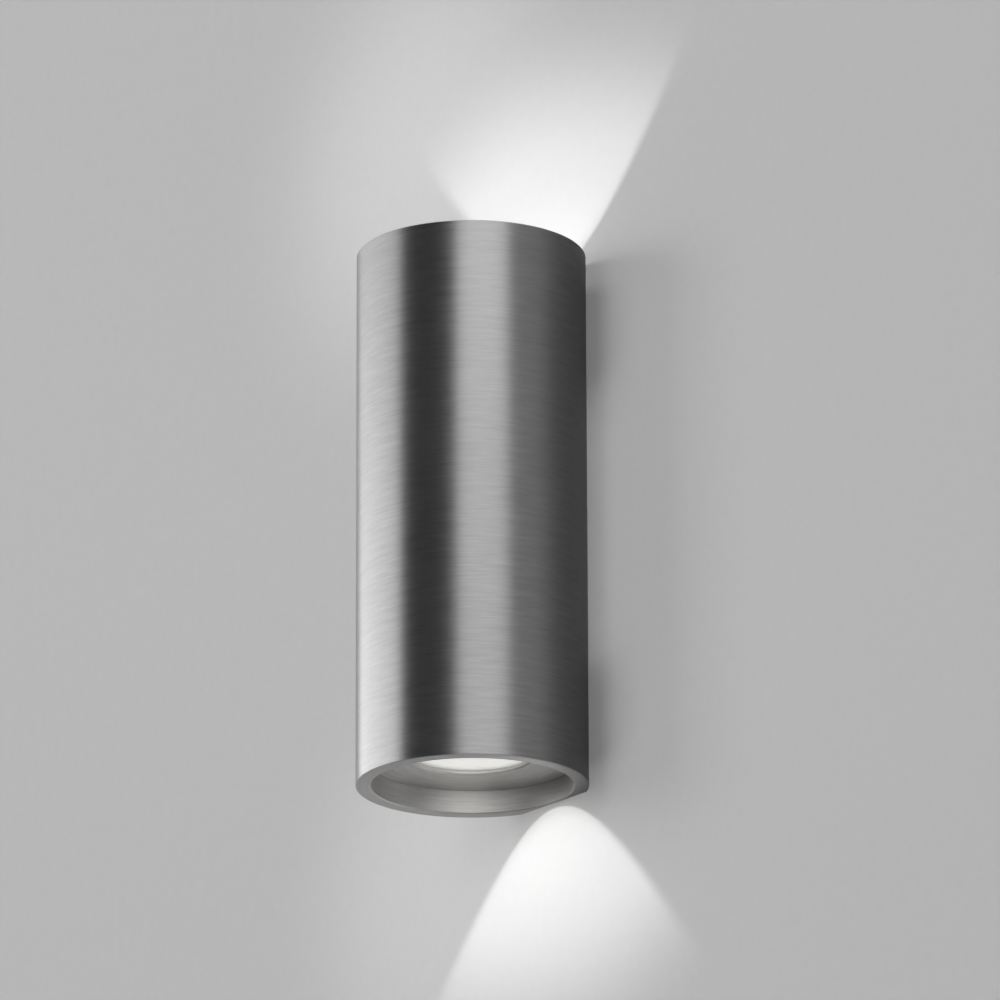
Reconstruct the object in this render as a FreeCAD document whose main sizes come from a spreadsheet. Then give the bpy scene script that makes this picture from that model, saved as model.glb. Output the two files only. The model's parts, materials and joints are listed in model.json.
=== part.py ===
"""Up and down tube wall light: a flat-backed tube that hangs over a wall bracket, with a recessed
light at each end, as a parametric document in millimetres.

+Z is up and +Y points at the wall. The wall is the plane Y = 0, and the origin is the middle of
the bracket's two screw slots. Each end of the tube is built in its own frame: its origin is the
middle of the tube's end face and its +Z points out of the mouth.
"""
import FreeCAD, Part
import math
import os
import Sketcher
from FreeCAD import Placement, Rotation, Vector

doc = FreeCAD.newDocument("tube_wall_light")

# ---------------------------------------------------------------- driving dimensions
DIMENSIONS = [
    # the tube
    ("tube_radius", 38.0),        # outside of the tube
    ("tube_wall", 5.0),
    ("tube_height", 182.0),
    ("flat_web", 0.8),            # thinnest wall, between the bore and the flat back
    ("mouth_bevel", 0.35),        # bevel round the inner edge of each mouth
    ("rim_bevel", 0.2),           # bevel round the outer edge of each end face
    ("flat_corner", 0.8),         # rounding where the flat back meets the round
    ("window_width", 26.0),       # opening in the flat back, for the bracket
    ("window_height", 80.0),
    ("window_corner", 0.8),
    # named clearances
    ("slip_gap", 0.3),            # between pieces that part or turn
    ("fit_gap", 0.05),            # round a shaft, a screw or a seated disc
    # the ring that closes each mouth
    ("bezel_depth", 7.7),         # end face to the ring's outer edge
    ("bezel_dish", 1.8),          # how far its face sinks towards the lens
    ("bezel_lip", 1.2),           # thickness of the lip over the lens
    ("bezel_round", 0.8),         # rounding of the lip's edge
    ("bezel_land", 7.0),          # length of its threaded rim
    ("light_radius", 19.5),       # clear opening over the lens
    ("bezel_key_radius", 1.2),    # holes for a two-pin key
    ("bezel_key_deep", 2.0),
    # lens, seal and reflector
    ("lens_radius", 21.3),
    ("lens_thick", 3.0),
    ("lens_bevel", 0.4),
    ("seal_thick", 1.0),
    ("seal_width", 2.6),
    ("reflector_wall", 0.8),
    ("reflector_flange", 1.0),
    ("reflector_mouth", 17.6),    # inside radius at its wide end
    ("reflector_throat", 8.3),    # inside radius at its narrow end
    ("reflector_height", 10.0),
    # LED board and the holder that presses it down
    ("board_side", 15.0),
    ("board_thick", 1.5),
    ("emitter_radius", 5.5),
    ("emitter_thick", 0.5),
    ("pad_thick", 0.5),
    ("holder_radius", 12.5),
    ("holder_thick", 3.5),
    ("holder_ear_radius", 3.4),
    ("holder_screw_place", 14.6),
    ("contact_width", 8.0),       # block that takes the LED leads
    ("contact_reach", 14.0),
    # heat sink
    ("sink_step", 1.5),           # radial ledge that carries the reflector
    ("sink_base", 4.0),           # metal behind the LED board
    ("fin_height", 12.0),
    ("fin_thick", 1.6),
    ("fin_count", 14),
    ("core_radius", 10.0),
    ("lead_hole_radius", 2.1),
    ("lead_hole_place", 16.4),    # distance of the lead hole from the axis
    # screws
    ("screw_radius", 1.5),        # M3 screws inside the lamp
    ("screw_head_radius", 2.7),
    ("screw_head_height", 1.9),
    ("back_screw_place", 12.0),   # countersunk screws, sideways from the middle
    ("back_screw_depth", 23.0),   # and inwards from the end face
    ("back_screw_length", 9.0),
    ("countersink_radius", 2.9),
    ("lock_radius", 2.0),         # M4 set screws that lock the tube to the bracket
    ("lock_length", 10.0),
    ("lock_place", 26.0),         # above and below the middle
    ("lock_inset", 5.8),          # in front of the wall
    ("lock_key_across", 2.0),     # hexagon socket
    # wall bracket
    ("bracket_thick", 1.5),
    ("bracket_bend", 0.75),       # inner radius of its folds
    ("bracket_depth", 11.0),      # wall to the front edge of its sides
    ("bracket_end_depth", 8.0),   # wall to the front edge of its top and bottom
    ("slot_spacing", 58.0),       # wall screws, centre to centre
    ("slot_width", 4.5),
    ("slot_length", 9.0),
    ("cable_hole_radius", 6.5),
    ("cable_hole_drop", 10.0),    # below the middle
    ("cable_radius", 4.5),        # bore of the grommet
    ("grommet_flange", 1.6),      # how far its flanges stand out, along and across
    ("earth_place", 16.0),        # earth screw, above the middle
    ("earth_screw_radius", 2.0),
    ("washer_radius", 4.2),
    ("washer_thick", 0.8),
    # chassis and what it carries
    ("chassis_thick", 1.5),
    ("chassis_width", 34.0),
    ("chassis_offset", 14.1),     # tube axis to its back face
    ("chassis_flange", 19.0),
    ("chassis_bend", 1.5),        # inner radius of its folds
    ("chassis_screw_place", 6.0),
    ("lead_window_width", 22.0),
    ("lead_window_height", 4.0),
    ("driver_width", 30.0),
    ("driver_depth", 22.0),
    ("driver_room", 9.0),         # beyond each end, up to the heat sink
    ("driver_lid_thick", 3.0),
    ("driver_screw_across", 12.0),
    ("driver_screw_inset", 4.0),  # from the ends of its case
    ("driver_screw_deep", 5.5),
    ("driver_corner", 1.5),
    ("driver_cap_length", 8.0),
    ("driver_entry_deep", 4.0),   # how far the leads go into the caps
    ("driver_lead_inset", 6.0),   # LED leads, behind the driver's front face
    ("block_pitch", 6.8),         # terminal block, pole to pole
    ("block_poles", 3),
    ("block_height", 16.0),
    ("block_depth", 10.5),
    ("block_room", 6.0),          # its top to the earth tag, where the earth lead shows
    ("block_wire_inset", 4.0),    # wire holes, above the chassis
    ("block_wire_deep", 5.0),
    ("block_well_deep", 4.5),     # screw wells
    ("block_well_inset", 4.0),
    ("block_groove", 1.0),        # grooves between the poles
    ("clamp_radius", 1.7),        # terminal screws
    ("clamp_height", 2.5),
    ("tag_width", 5.0),           # earth tag on the chassis
    ("tag_thick", 0.8),
    ("tag_length", 8.0),
    ("tag_stand", 6.0),
    ("tag_room", 1.6),            # its foot to the lead window
    # leads
    ("lead_radius", 0.8),
    ("lead_pitch", 2.0),          # two leads of a pair, centre to centre
    ("lead_bend", 1.6),           # radius on the middle line of a tight bend
]


class Size:
    """A number together with the spreadsheet formula that gives it."""

    def __init__(self, number, formula=None):
        self.number = float(number)
        self.formula = formula if formula is not None else repr(float(number))

    @staticmethod
    def of(thing):
        return thing if isinstance(thing, Size) else Size(thing)

    def joined(self, other, sign, number):
        return Size(number, "(%s %s %s)" % (self.formula, sign, other.formula))

    def __add__(self, other):
        other = Size.of(other)
        return self.joined(other, "+", self.number + other.number)

    def __sub__(self, other):
        other = Size.of(other)
        return self.joined(other, "-", self.number - other.number)

    def __mul__(self, other):
        other = Size.of(other)
        return self.joined(other, "*", self.number * other.number)

    def __truediv__(self, other):
        other = Size.of(other)
        return self.joined(other, "/", self.number / other.number)

    def __radd__(self, other):
        return Size.of(other) + self

    def __rsub__(self, other):
        return Size.of(other) - self

    def __rmul__(self, other):
        return Size.of(other) * self

    def __neg__(self):
        return Size(-self.number, "(-1 * %s)" % self.formula)

    def __float__(self):
        return self.number


def root(size):
    """The square root of a size, as a number and as a formula."""
    return Size(math.sqrt(size.number), "sqrt(%s)" % size.formula)


def make_sheet():
    """The spreadsheet of driving dimensions: a name and a plain number in each row."""
    sheet = doc.addObject("Spreadsheet::Sheet", "Sizes")
    for row, (name, number) in enumerate(DIMENSIONS, start=1):
        sheet.set("A%d" % row, name)
        sheet.set("B%d" % row, str(number))
        sheet.setAlias("B%d" % row, name)
    doc.recompute()
    return {name: Size(getattr(sheet, name), "Sizes." + name) for name, _ in DIMENSIONS}


S = make_sheet()
ZERO = Size(0)

# ---------------------------------------------------------------- places that several pieces share
bore_radius = S["tube_radius"] - S["tube_wall"]
half_height = S["tube_height"] / 2
flat_depth = bore_radius + S["flat_web"]
axis_y = -flat_depth
screw_hole_radius = S["screw_radius"] + S["fit_gap"]
screw_sunk = 2 * S["fit_gap"]                                   # back screws, below the flat back
countersink_height = S["countersink_radius"] - S["screw_radius"]  # heads slope at 45 degrees

# depths below an end face, in the order in which the pieces are stacked
lip_depth = S["bezel_depth"] + S["bezel_dish"]
lens_depth = lip_depth + S["bezel_lip"] + S["slip_gap"]
seal_depth = lens_depth + S["lens_thick"]
reflector_depth = seal_depth + S["seal_thick"]
holder_depth = reflector_depth + S["reflector_height"]
seat_depth = holder_depth + S["holder_thick"]
base_depth = seat_depth + S["sink_base"]
fin_depth = base_depth + S["fin_height"]
sink_front = S["bezel_depth"] + S["bezel_land"] + S["slip_gap"]
board_depth = seat_depth - S["pad_thick"] - S["board_thick"]

sink_radius = bore_radius - S["fit_gap"]
sink_mouth = S["lens_radius"] + 2 * S["slip_gap"]
chassis_end = half_height - fin_depth
chassis_back = axis_y + S["chassis_offset"]
chassis_front = chassis_back - S["chassis_thick"]
driver_front = chassis_front - S["driver_depth"]
cap_end = chassis_end - S["driver_room"]
driver_end = cap_end - S["driver_cap_length"]
driver_length = 2 * driver_end
driver_screw_z = driver_end - S["driver_screw_inset"]
lead_over = cap_end + S["lead_bend"] + S["lead_radius"]
tag_foot = S["tag_thick"] + S["tag_length"]
tag_z = lead_over - S["lead_window_height"] / 2 - S["tag_room"] - tag_foot
tag_screw_z = tag_z + S["tag_thick"] + S["tag_length"] / 2
block_high = tag_z - S["block_room"]
block_low = block_high - S["block_height"]
block_middle = block_high - S["block_height"] / 2
block_fixing = chassis_back + S["block_depth"] / 2      # under the heads of its fixing screws
block_face = chassis_back + S["block_depth"]
wire_y = chassis_back + S["block_wire_inset"]
lead_y = axis_y - S["lead_hole_place"]
bracket_width = S["window_width"] - 2 * S["slip_gap"]
bracket_height = S["window_height"] - 2 * S["slip_gap"]
lock_x = -(bracket_width / 2 + S["slip_gap"])

# ---------------------------------------------------------------- helpers
pieces = {}


def bind(thing, prop, size):
    """Sets a property to a size and ties it to the size's formula."""
    size = Size.of(size)
    thing.setExpression(prop, size.formula)


def place(thing, x=0, y=0, z=0, turn=None):
    """Puts an object at a point given by three sizes, after an optional turn."""
    point = [Size.of(value) for value in (x, y, z)]
    thing.Placement = Placement(Vector(*[value.number for value in point]), turn or Rotation())
    for axis, value in zip("xyz", point):
        bind(thing, "Placement.Base." + axis, value)
    return thing


def keep(thing, name):
    """Names an object as one of the lamp's pieces."""
    thing.Label = name
    pieces[name] = thing
    return thing


def new_body(name):
    return doc.addObject("PartDesign::Body", name)


def origin_plane(body, role):
    """One of a body's own origin planes, found by its role."""
    return next(item for item in body.Origin.OriginFeatures if item.Role == role)


def new_sketch(body, name, role, lift=None):
    """An empty sketch on one of the body's own planes, lifted along that plane's normal."""
    sketch = body.newObject("Sketcher::SketchObject", name)
    sketch.AttachmentSupport = [(origin_plane(body, role), "")]
    sketch.MapMode = "FlatFace"
    if lift is not None:
        sketch.AttachmentOffset = Placement(Vector(0, 0, lift.number), Rotation())
        bind(sketch, "AttachmentOffset.Base.z", lift)
    return sketch


def hold_point(sketch, edge, end, across, up):
    """Fixes a point of a sketch at its distances across and up from the sketch's origin."""
    for kind, size, axis in (("DistanceX", across, -2), ("DistanceY", up, -1)):
        size = Size.of(size)
        if size.formula == ZERO.formula:
            sketch.addConstraint(Sketcher.Constraint("PointOnObject", edge, end, axis))
            continue
        index = sketch.addConstraint(Sketcher.Constraint(kind, -1, 1, edge, end, size.number))
        bind(sketch, "Constraints[%d]" % index, size)


def outline(sketch, points):
    """A closed outline of straight edges through points given as pairs of sizes."""
    corners = [(Size.of(across), Size.of(up)) for across, up in points]
    flat = [Vector(across.number, up.number, 0) for across, up in corners]
    first = sketch.GeometryCount
    count = len(flat)
    for index in range(count):
        sketch.addGeometry(Part.LineSegment(flat[index], flat[(index + 1) % count]), False)
    for index in range(count):
        ahead = first + (index + 1) % count
        sketch.addConstraint(Sketcher.Constraint("Coincident", first + index, 2, ahead, 1))
    for index, (across, up) in enumerate(corners):
        hold_point(sketch, first + index, 1, across, up)


def rectangle(sketch, width, height, across=0, up=0):
    """A rectangle of a given width and height round a middle point."""
    left, right = across - width / 2, across + width / 2
    low, high = up - height / 2, up + height / 2
    outline(sketch, [(left, low), (right, low), (right, high), (left, high)])


def circle(sketch, radius, across=0, up=0):
    """A circle of a given radius round a middle point."""
    across, up, radius = Size.of(across), Size.of(up), Size.of(radius)
    middle = Vector(across.number, up.number, 0)
    edge = sketch.addGeometry(Part.Circle(middle, Vector(0, 0, 1), radius.number), False)
    index = sketch.addConstraint(Sketcher.Constraint("Radius", edge, radius.number))
    bind(sketch, "Constraints[%d]" % index, radius)
    hold_point(sketch, edge, 3, across, up)


def slot(sketch, width, length, across, up):
    """A slot that runs up and down: two half circles joined by straight sides."""
    across, up, radius = Size.of(across), Size.of(up), width / 2
    high, low = up + (length - width) / 2, up - (length - width) / 2
    top_mid = Vector(across.number, high.number, 0)
    low_mid = Vector(across.number, low.number, 0)
    axis, reach = Vector(0, 0, 1), Vector(radius.number, 0, 0)
    first = sketch.GeometryCount
    cap = Part.ArcOfCircle(Part.Circle(top_mid, axis, radius.number), 0, math.pi)
    cup = Part.ArcOfCircle(Part.Circle(low_mid, axis, radius.number), math.pi, 2 * math.pi)
    sketch.addGeometry(cap, False)
    sketch.addGeometry(Part.LineSegment(top_mid - reach, low_mid - reach), False)
    sketch.addGeometry(cup, False)
    sketch.addGeometry(Part.LineSegment(low_mid + reach, top_mid + reach), False)
    for edge in range(4):
        joint = (first + edge, 2, first + (edge + 1) % 4, 1)
        sketch.addConstraint(Sketcher.Constraint("Tangent", *joint))
    hold_point(sketch, first, 3, across, high)
    index = sketch.addConstraint(Sketcher.Constraint("DistanceY", first + 2, 3, first, 3,
                                                     (length - width).number))
    bind(sketch, "Constraints[%d]" % index, length - width)
    index = sketch.addConstraint(Sketcher.Constraint("Radius", first, radius.number))
    bind(sketch, "Constraints[%d]" % index, radius)


def pad(body, sketch, length, both_ways=False, backwards=False):
    """Raises a sketch into a solid."""
    feature = body.newObject("PartDesign::Pad", sketch.Name + "_pad")
    feature.Profile = sketch
    bind(feature, "Length", length)
    feature.Midplane = both_ways
    feature.Reversed = backwards
    doc.recompute()
    return feature


def pocket(body, sketch, length, both_ways=False, backwards=False):
    """Cuts a sketch out of the solid, and makes sure that it took metal away."""
    before = body.Shape.Volume
    feature = body.newObject("PartDesign::Pocket", sketch.Name + "_pocket")
    feature.Profile = sketch
    bind(feature, "Length", length)
    feature.Midplane = both_ways
    feature.Reversed = backwards
    doc.recompute()
    if not body.Shape.Volume < before:
        raise RuntimeError(sketch.Name + " cut nothing")
    return feature


def revolve(body, sketch):
    """Turns a sketch once round the sketch's upright axis."""
    feature = body.newObject("PartDesign::Revolution", sketch.Name + "_turn")
    feature.Profile = sketch
    feature.ReferenceAxis = (sketch, ["V_Axis"])
    feature.Angle = 360
    doc.recompute()
    return feature


def pattern(body, feature, count):
    """Repeats a feature evenly round the body's Z axis."""
    polar = body.newObject("PartDesign::PolarPattern", feature.Name + "_round")
    polar.Originals = [feature]
    z_axis = next(item for item in body.Origin.OriginFeatures if item.Role == "Z_Axis")
    polar.Axis = (z_axis, [""])
    polar.Angle = 360
    bind(polar, "Occurrences", count)
    body.Tip = polar
    doc.recompute()
    return polar


def edges_where(shape, wanted):
    """Names of the edges that pass a test of the edge."""
    return ["Edge%d" % number for number, edge in enumerate(shape.Edges, start=1) if wanted(edge)]


def dress(body, kind, size, wanted):
    """Rounds (Fillet) or bevels (Chamfer) the edges of a body that pass a test."""
    base = body.Tip
    names = edges_where(base.Shape, wanted)
    if not names:
        raise RuntimeError("no edge to dress on " + body.Name)
    feature = body.newObject("PartDesign::" + kind, body.Name + "_" + kind.lower())
    feature.Base = (base, names)
    bind(feature, "Radius" if kind == "Fillet" else "Size", size)
    doc.recompute()
    return feature


def cylinder(name, radius, height, x=0, y=0, z=0, turn=None):
    """A plain cylinder that starts at a point and runs along its own turned Z."""
    thing = doc.addObject("Part::Cylinder", name)
    bind(thing, "Radius", radius)
    bind(thing, "Height", height)
    return place(thing, x, y, z, turn)


def box(name, length, width, height, x=0, y=0, z=0):
    """A plain box from its lowest corner."""
    thing = doc.addObject("Part::Box", name)
    bind(thing, "Length", length)
    bind(thing, "Width", width)
    bind(thing, "Height", height)
    return place(thing, x, y, z)


def cone(name, start_radius, end_radius, height, x=0, y=0, z=0, turn=None):
    """A cut-off cone that starts at a point and runs along its own turned Z."""
    thing = doc.addObject("Part::Cone", name)
    bind(thing, "Radius1", start_radius)
    bind(thing, "Radius2", end_radius)
    bind(thing, "Height", height)
    return place(thing, x, y, z, turn)


def fuse(name, things):
    """One solid made of several."""
    thing = doc.addObject("Part::MultiFuse", name)
    thing.Shapes = things
    return thing


def cut(name, base, tools):
    """A solid with several others taken away."""
    thing = doc.addObject("Part::Cut", name)
    thing.Base = base
    thing.Tool = tools[0] if len(tools) == 1 else fuse(name + "_tools", tools)
    return thing


def group(name, things):
    """Several separate solids in one object."""
    thing = doc.addObject("Part::Compound", name)
    thing.Links = things
    return thing


TO_WALL = Rotation(Vector(1, 0, 0), -90)      # turns Z to +Y
FROM_WALL = Rotation(Vector(1, 0, 0), 90)     # turns Z to -Y
TO_LEFT = Rotation(Vector(0, 1, 0), -90)      # turns Z to -X
UPSIDE_DOWN = Rotation(Vector(0, 1, 0), 180)  # turns Z to -Z and X to -X
ENDS = (("upper", 1, Rotation()), ("lower", -1, UPSIDE_DOWN))


def at_end(thing, sign, turn):
    """Moves a piece that was built in an end's own frame to that end of the tube."""
    return place(thing, 0, axis_y, sign * half_height, turn)


# ---------------------------------------------------------------- the tube
def at(value, target, slack=0.01):
    return abs(value - float(target)) < slack


def tube_body():
    """Thick tube with a flat back, a window in the flat, and its screw holes."""
    body = new_body("TubeBody")
    sketch = new_sketch(body, "tube_section", "XY_Plane")
    radius, flat = S["tube_radius"].number, flat_depth.number
    corner = math.asin(flat / radius)
    half = radius * math.cos(corner)
    round_side = Part.Circle(Vector(0, 0, 0), Vector(0, 0, 1), radius)
    arc = sketch.addGeometry(Part.ArcOfCircle(round_side, math.pi - corner,
                                              2 * math.pi + corner), False)
    back = sketch.addGeometry(Part.LineSegment(Vector(half, flat, 0), Vector(-half, flat, 0)), False)
    sketch.addConstraint(Sketcher.Constraint("Coincident", arc, 2, back, 1))
    sketch.addConstraint(Sketcher.Constraint("Coincident", back, 2, arc, 1))
    sketch.addConstraint(Sketcher.Constraint("Coincident", arc, 3, -1, 1))
    sketch.addConstraint(Sketcher.Constraint("Horizontal", back))
    index = sketch.addConstraint(Sketcher.Constraint("Radius", arc, radius))
    bind(sketch, "Constraints[%d]" % index, S["tube_radius"])
    index = sketch.addConstraint(Sketcher.Constraint("DistanceY", -1, 1, back, 1, flat))
    bind(sketch, "Constraints[%d]" % index, flat_depth)
    circle(sketch, bore_radius)
    pad(body, sketch, S["tube_height"], both_ways=True)

    window = new_sketch(body, "back_window", "XZ_Plane")
    rectangle(window, S["window_width"], S["window_height"])
    pocket(body, window, flat_depth)

    locks = new_sketch(body, "lock_holes", "YZ_Plane")
    for sign in (1, -1):
        circle(locks, S["lock_radius"] + S["fit_gap"], flat_depth - S["lock_inset"],
               sign * S["lock_place"])
    pocket(body, locks, S["tube_radius"])

    backs = new_sketch(body, "back_screw_holes", "XZ_Plane")
    for side in (1, -1):
        for sign in (1, -1):
            circle(backs, screw_hole_radius, side * S["back_screw_place"],
                   sign * (half_height - S["back_screw_depth"]))
    pocket(body, backs, flat_depth)

    def countersink(edge):
        return (isinstance(edge.Curve, Part.Circle) and at(edge.Curve.Radius, screw_hole_radius)
                and at(edge.CenterOfMass.y, flat_depth))

    def window_edge(edge):
        ends = [vertex.Point for vertex in edge.Vertexes]
        return (len(ends) == 2 and at(ends[0].x, ends[1].x) and at(ends[0].z, ends[1].z)
                and at(abs(ends[0].x), S["window_width"] / 2)
                and at(abs(ends[0].z), S["window_height"] / 2))

    def flat_edge(edge):
        ends = [vertex.Point for vertex in edge.Vertexes]
        return (len(ends) == 2 and at(ends[0].x, ends[1].x) and at(abs(ends[0].x), half)
                and at(ends[0].y, flat_depth) and at(ends[1].y, flat_depth)
                and at(edge.Length, S["tube_height"]))

    def rim_edge(edge, inner):
        circular = isinstance(edge.Curve, Part.Circle)
        bore = circular and at(edge.Curve.Radius, bore_radius)
        box_ = edge.BoundBox
        at_end_face = at(abs(box_.ZMin), half_height) and at(box_.ZMin, box_.ZMax)
        return at_end_face and bore == inner

    dress(body, "Chamfer", countersink_height + screw_sunk, countersink)
    dress(body, "Fillet", S["window_corner"], window_edge)
    dress(body, "Fillet", S["flat_corner"], flat_edge)
    dress(body, "Chamfer", S["mouth_bevel"], lambda edge: rim_edge(edge, True))
    dress(body, "Chamfer", S["rim_bevel"], lambda edge: rim_edge(edge, False))
    keep(place(body, 0, axis_y, 0), "tube_body")


# ---------------------------------------------------------------- light at each end
BEZEL_TURN = -52  # degrees by which each ring's key holes stand round from the X axis


def bezel(name, sign, turn):
    """Ring that screws into a mouth: threaded rim, dished face and a rounded lip over the lens."""
    body = new_body("Bezel_" + name)
    sketch = new_sketch(body, "bezel_section_" + name, "XZ_Plane")
    seat = S["lens_radius"] + S["slip_gap"]
    back = S["bezel_depth"] + S["bezel_land"]
    outline(sketch, [
        (sink_radius, -S["bezel_depth"]),
        (S["light_radius"], -lip_depth),
        (S["light_radius"], -(lip_depth + S["bezel_lip"])),
        (seat, -(lip_depth + S["bezel_lip"])),
        (seat, -back),
        (sink_radius, -back),
    ])
    revolve(body, sketch)
    dress(body, "Fillet", S["bezel_round"],
          lambda edge: at(edge.BoundBox.ZMin, -lip_depth) and at(edge.BoundBox.ZMax, -lip_depth))
    keys = new_sketch(body, "bezel_keys_" + name, "XY_Plane")
    reach = (S["light_radius"] + bore_radius) / 2
    for side in (1, -1):
        circle(keys, S["bezel_key_radius"], side * reach)
    pocket(body, keys, S["bezel_depth"] + S["bezel_dish"] / 2 + S["bezel_key_deep"])
    rest = turn.multiply(Rotation(Vector(0, 0, 1), BEZEL_TURN))
    keep(at_end(body, sign, rest), "bezel_" + name)


def lens(name, sign, turn):
    """Frosted glass disc with bevelled edges."""
    body = new_body("Lens_" + name)
    sketch = new_sketch(body, "lens_section_" + name, "XZ_Plane")
    back = lens_depth + S["lens_thick"]
    outline(sketch, [
        (0, -lens_depth),
        (S["lens_radius"] - S["lens_bevel"], -lens_depth),
        (S["lens_radius"], -(lens_depth + S["lens_bevel"])),
        (S["lens_radius"], -(back - S["lens_bevel"])),
        (S["lens_radius"] - S["lens_bevel"], -back),
        (0, -back),
    ])
    revolve(body, sketch)
    keep(at_end(body, sign, turn), "lens_" + name)


def lens_seal(name, sign, turn):
    """Flat silicone ring between the lens and the reflector."""
    outside = cylinder("SealOutside_" + name, S["lens_radius"], S["seal_thick"], z=-reflector_depth)
    inside = cylinder("SealInside_" + name, S["lens_radius"] - S["seal_width"],
                      S["seal_thick"] * 3, z=-(reflector_depth + S["seal_thick"]))
    keep(at_end(cut("Seal_" + name, outside, [inside]), sign, turn), "lens_seal_" + name)


def reflector(name, sign, turn):
    """Thin cone that widens from the LED to the lens, with a flange at its wide end."""
    body = new_body("Reflector_" + name)
    sketch = new_sketch(body, "reflector_section_" + name, "XZ_Plane")
    flange_back = reflector_depth + S["reflector_flange"]
    outline(sketch, [
        (S["reflector_mouth"], -reflector_depth),
        (S["lens_radius"], -reflector_depth),
        (S["lens_radius"], -flange_back),
        (S["reflector_mouth"] + S["reflector_wall"], -flange_back),
        (S["reflector_throat"] + S["reflector_wall"], -holder_depth),
        (S["reflector_throat"], -holder_depth),
    ])
    revolve(body, sketch)
    keep(at_end(body, sign, turn), "reflector_" + name)


def led(name, sign, turn):
    """LED board, its light-giving disc, and the heat pad under it."""
    half = S["board_side"] / 2
    board = box("Board_" + name, S["board_side"], S["board_side"], S["board_thick"],
                -half, -half, -(board_depth + S["board_thick"]))
    disc = cylinder("Emitter_" + name, S["emitter_radius"], S["emitter_thick"], z=-board_depth)
    pad_sheet = box("Pad_" + name, S["board_side"], S["board_side"], S["pad_thick"],
                    -half, -half, -seat_depth)
    for thing, label in ((board, "led_board_"), (disc, "led_emitter_"), (pad_sheet, "heat_pad_")):
        # a group of one keeps the piece's place in the end's own frame
        keep(at_end(group(label + "group_" + name, [thing]), sign, turn), label + name)


def led_holder(name, sign, turn):
    """Moulded ring that presses the LED board down, with two screw ears and a lead contact."""
    back = -seat_depth
    ear = S["holder_ear_radius"]
    disc = cylinder("HolderDisc_" + name, S["holder_radius"], S["holder_thick"], z=back)
    bar = box("HolderBar_" + name, 2 * S["holder_screw_place"], 2 * ear, S["holder_thick"],
              -S["holder_screw_place"], -ear, back)
    contact = box("HolderContact_" + name, S["contact_width"], S["contact_reach"],
                  S["holder_thick"], -S["contact_width"] / 2, -S["contact_reach"], back)
    ears = [cylinder("HolderEar%d_%s" % (side, name), ear, S["holder_thick"],
                     side * S["holder_screw_place"], 0, back) for side in (1, -1)]
    window = cylinder("HolderWindow_" + name, S["reflector_throat"], S["holder_thick"] * 3,
                      z=back - S["holder_thick"])
    side_room = S["board_side"] + 2 * S["fit_gap"]
    deep = S["pad_thick"] + S["board_thick"]
    nest = box("HolderNest_" + name, side_room, side_room, deep * 2,
               -side_room / 2, -side_room / 2, back - deep)
    holes = [cylinder("HolderHole%d_%s" % (side, name), screw_hole_radius, S["holder_thick"] * 3,
                      side * S["holder_screw_place"], 0, back - S["holder_thick"])
             for side in (1, -1)]
    solid = fuse("HolderSolid_" + name, [disc, bar, contact] + ears)
    keep(at_end(cut("Holder_" + name, solid, [window, nest] + holes), sign, turn),
         "led_holder_" + name)


def heat_sink(name, sign, turn):
    """Turned cup that fills the bore round the LED, with straight fins behind its floor."""
    body = new_body("HeatSink_" + name)
    sketch = new_sketch(body, "sink_section_" + name, "XZ_Plane")
    ledge = sink_mouth - S["sink_step"]
    ledge_depth = reflector_depth + S["reflector_flange"]
    outline(sketch, [
        (sink_mouth, -sink_front),
        (sink_mouth, -ledge_depth),
        (ledge, -ledge_depth),
        (ledge, -seat_depth),
        (0, -seat_depth),
        (0, -base_depth),
        (sink_radius, -base_depth),
        (sink_radius, -sink_front),
    ])
    revolve(body, sketch)

    core = new_sketch(body, "sink_core_" + name, "XY_Plane", -base_depth)
    circle(core, S["core_radius"])
    pad(body, core, S["fin_height"], backwards=True)
    fin = new_sketch(body, "sink_fin_" + name, "XY_Plane", -base_depth)
    inner = S["core_radius"] - S["fin_thick"]
    outer = sink_radius - S["slip_gap"]
    rectangle(fin, outer - inner, S["fin_thick"], (outer + inner) / 2)
    pattern(body, pad(body, fin, S["fin_height"], backwards=True), S["fin_count"])

    lead_way = new_sketch(body, "sink_lead_way_" + name, "XY_Plane", -base_depth)
    circle(lead_way, S["lead_hole_radius"], 0, -S["lead_hole_place"])
    pocket(body, lead_way, S["sink_base"], backwards=True)
    holder_holes = new_sketch(body, "sink_holder_holes_" + name, "XY_Plane", -seat_depth)
    for side in (1, -1):
        circle(holder_holes, screw_hole_radius, side * S["holder_screw_place"])
    pocket(body, holder_holes, S["sink_base"])
    chassis_holes = new_sketch(body, "sink_chassis_holes_" + name, "XY_Plane", -fin_depth)
    for side in (1, -1):
        circle(chassis_holes, screw_hole_radius, side * S["chassis_screw_place"])
    pocket(body, chassis_holes, S["fin_height"], backwards=True)
    back_holes = new_sketch(body, "sink_back_holes_" + name, "XZ_Plane",
                            -(flat_depth - S["back_screw_length"] - S["slip_gap"]))
    for side in (1, -1):
        circle(back_holes, screw_hole_radius, side * S["back_screw_place"],
               -S["back_screw_depth"])
    pocket(body, back_holes, S["back_screw_length"])
    keep(at_end(body, sign, turn), "heat_sink_" + name)


# ---------------------------------------------------------------- screws
def pan_screw(name, length, x, y, z, turn=None):
    """A screw whose head stands on a point and whose shank runs back from it."""
    turn = turn or Rotation()
    out = turn.multVec(Vector(0, 0, 1))
    start = [Size.of(value) - along * length for value, along in zip((x, y, z), out)]
    shank = cylinder(name + "_shank", S["screw_radius"], length + S["screw_head_height"] / 2,
                     *start, turn)
    head = cylinder(name + "_head", S["screw_head_radius"], S["screw_head_height"], x, y, z, turn)
    return fuse(name, [shank, head])


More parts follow.
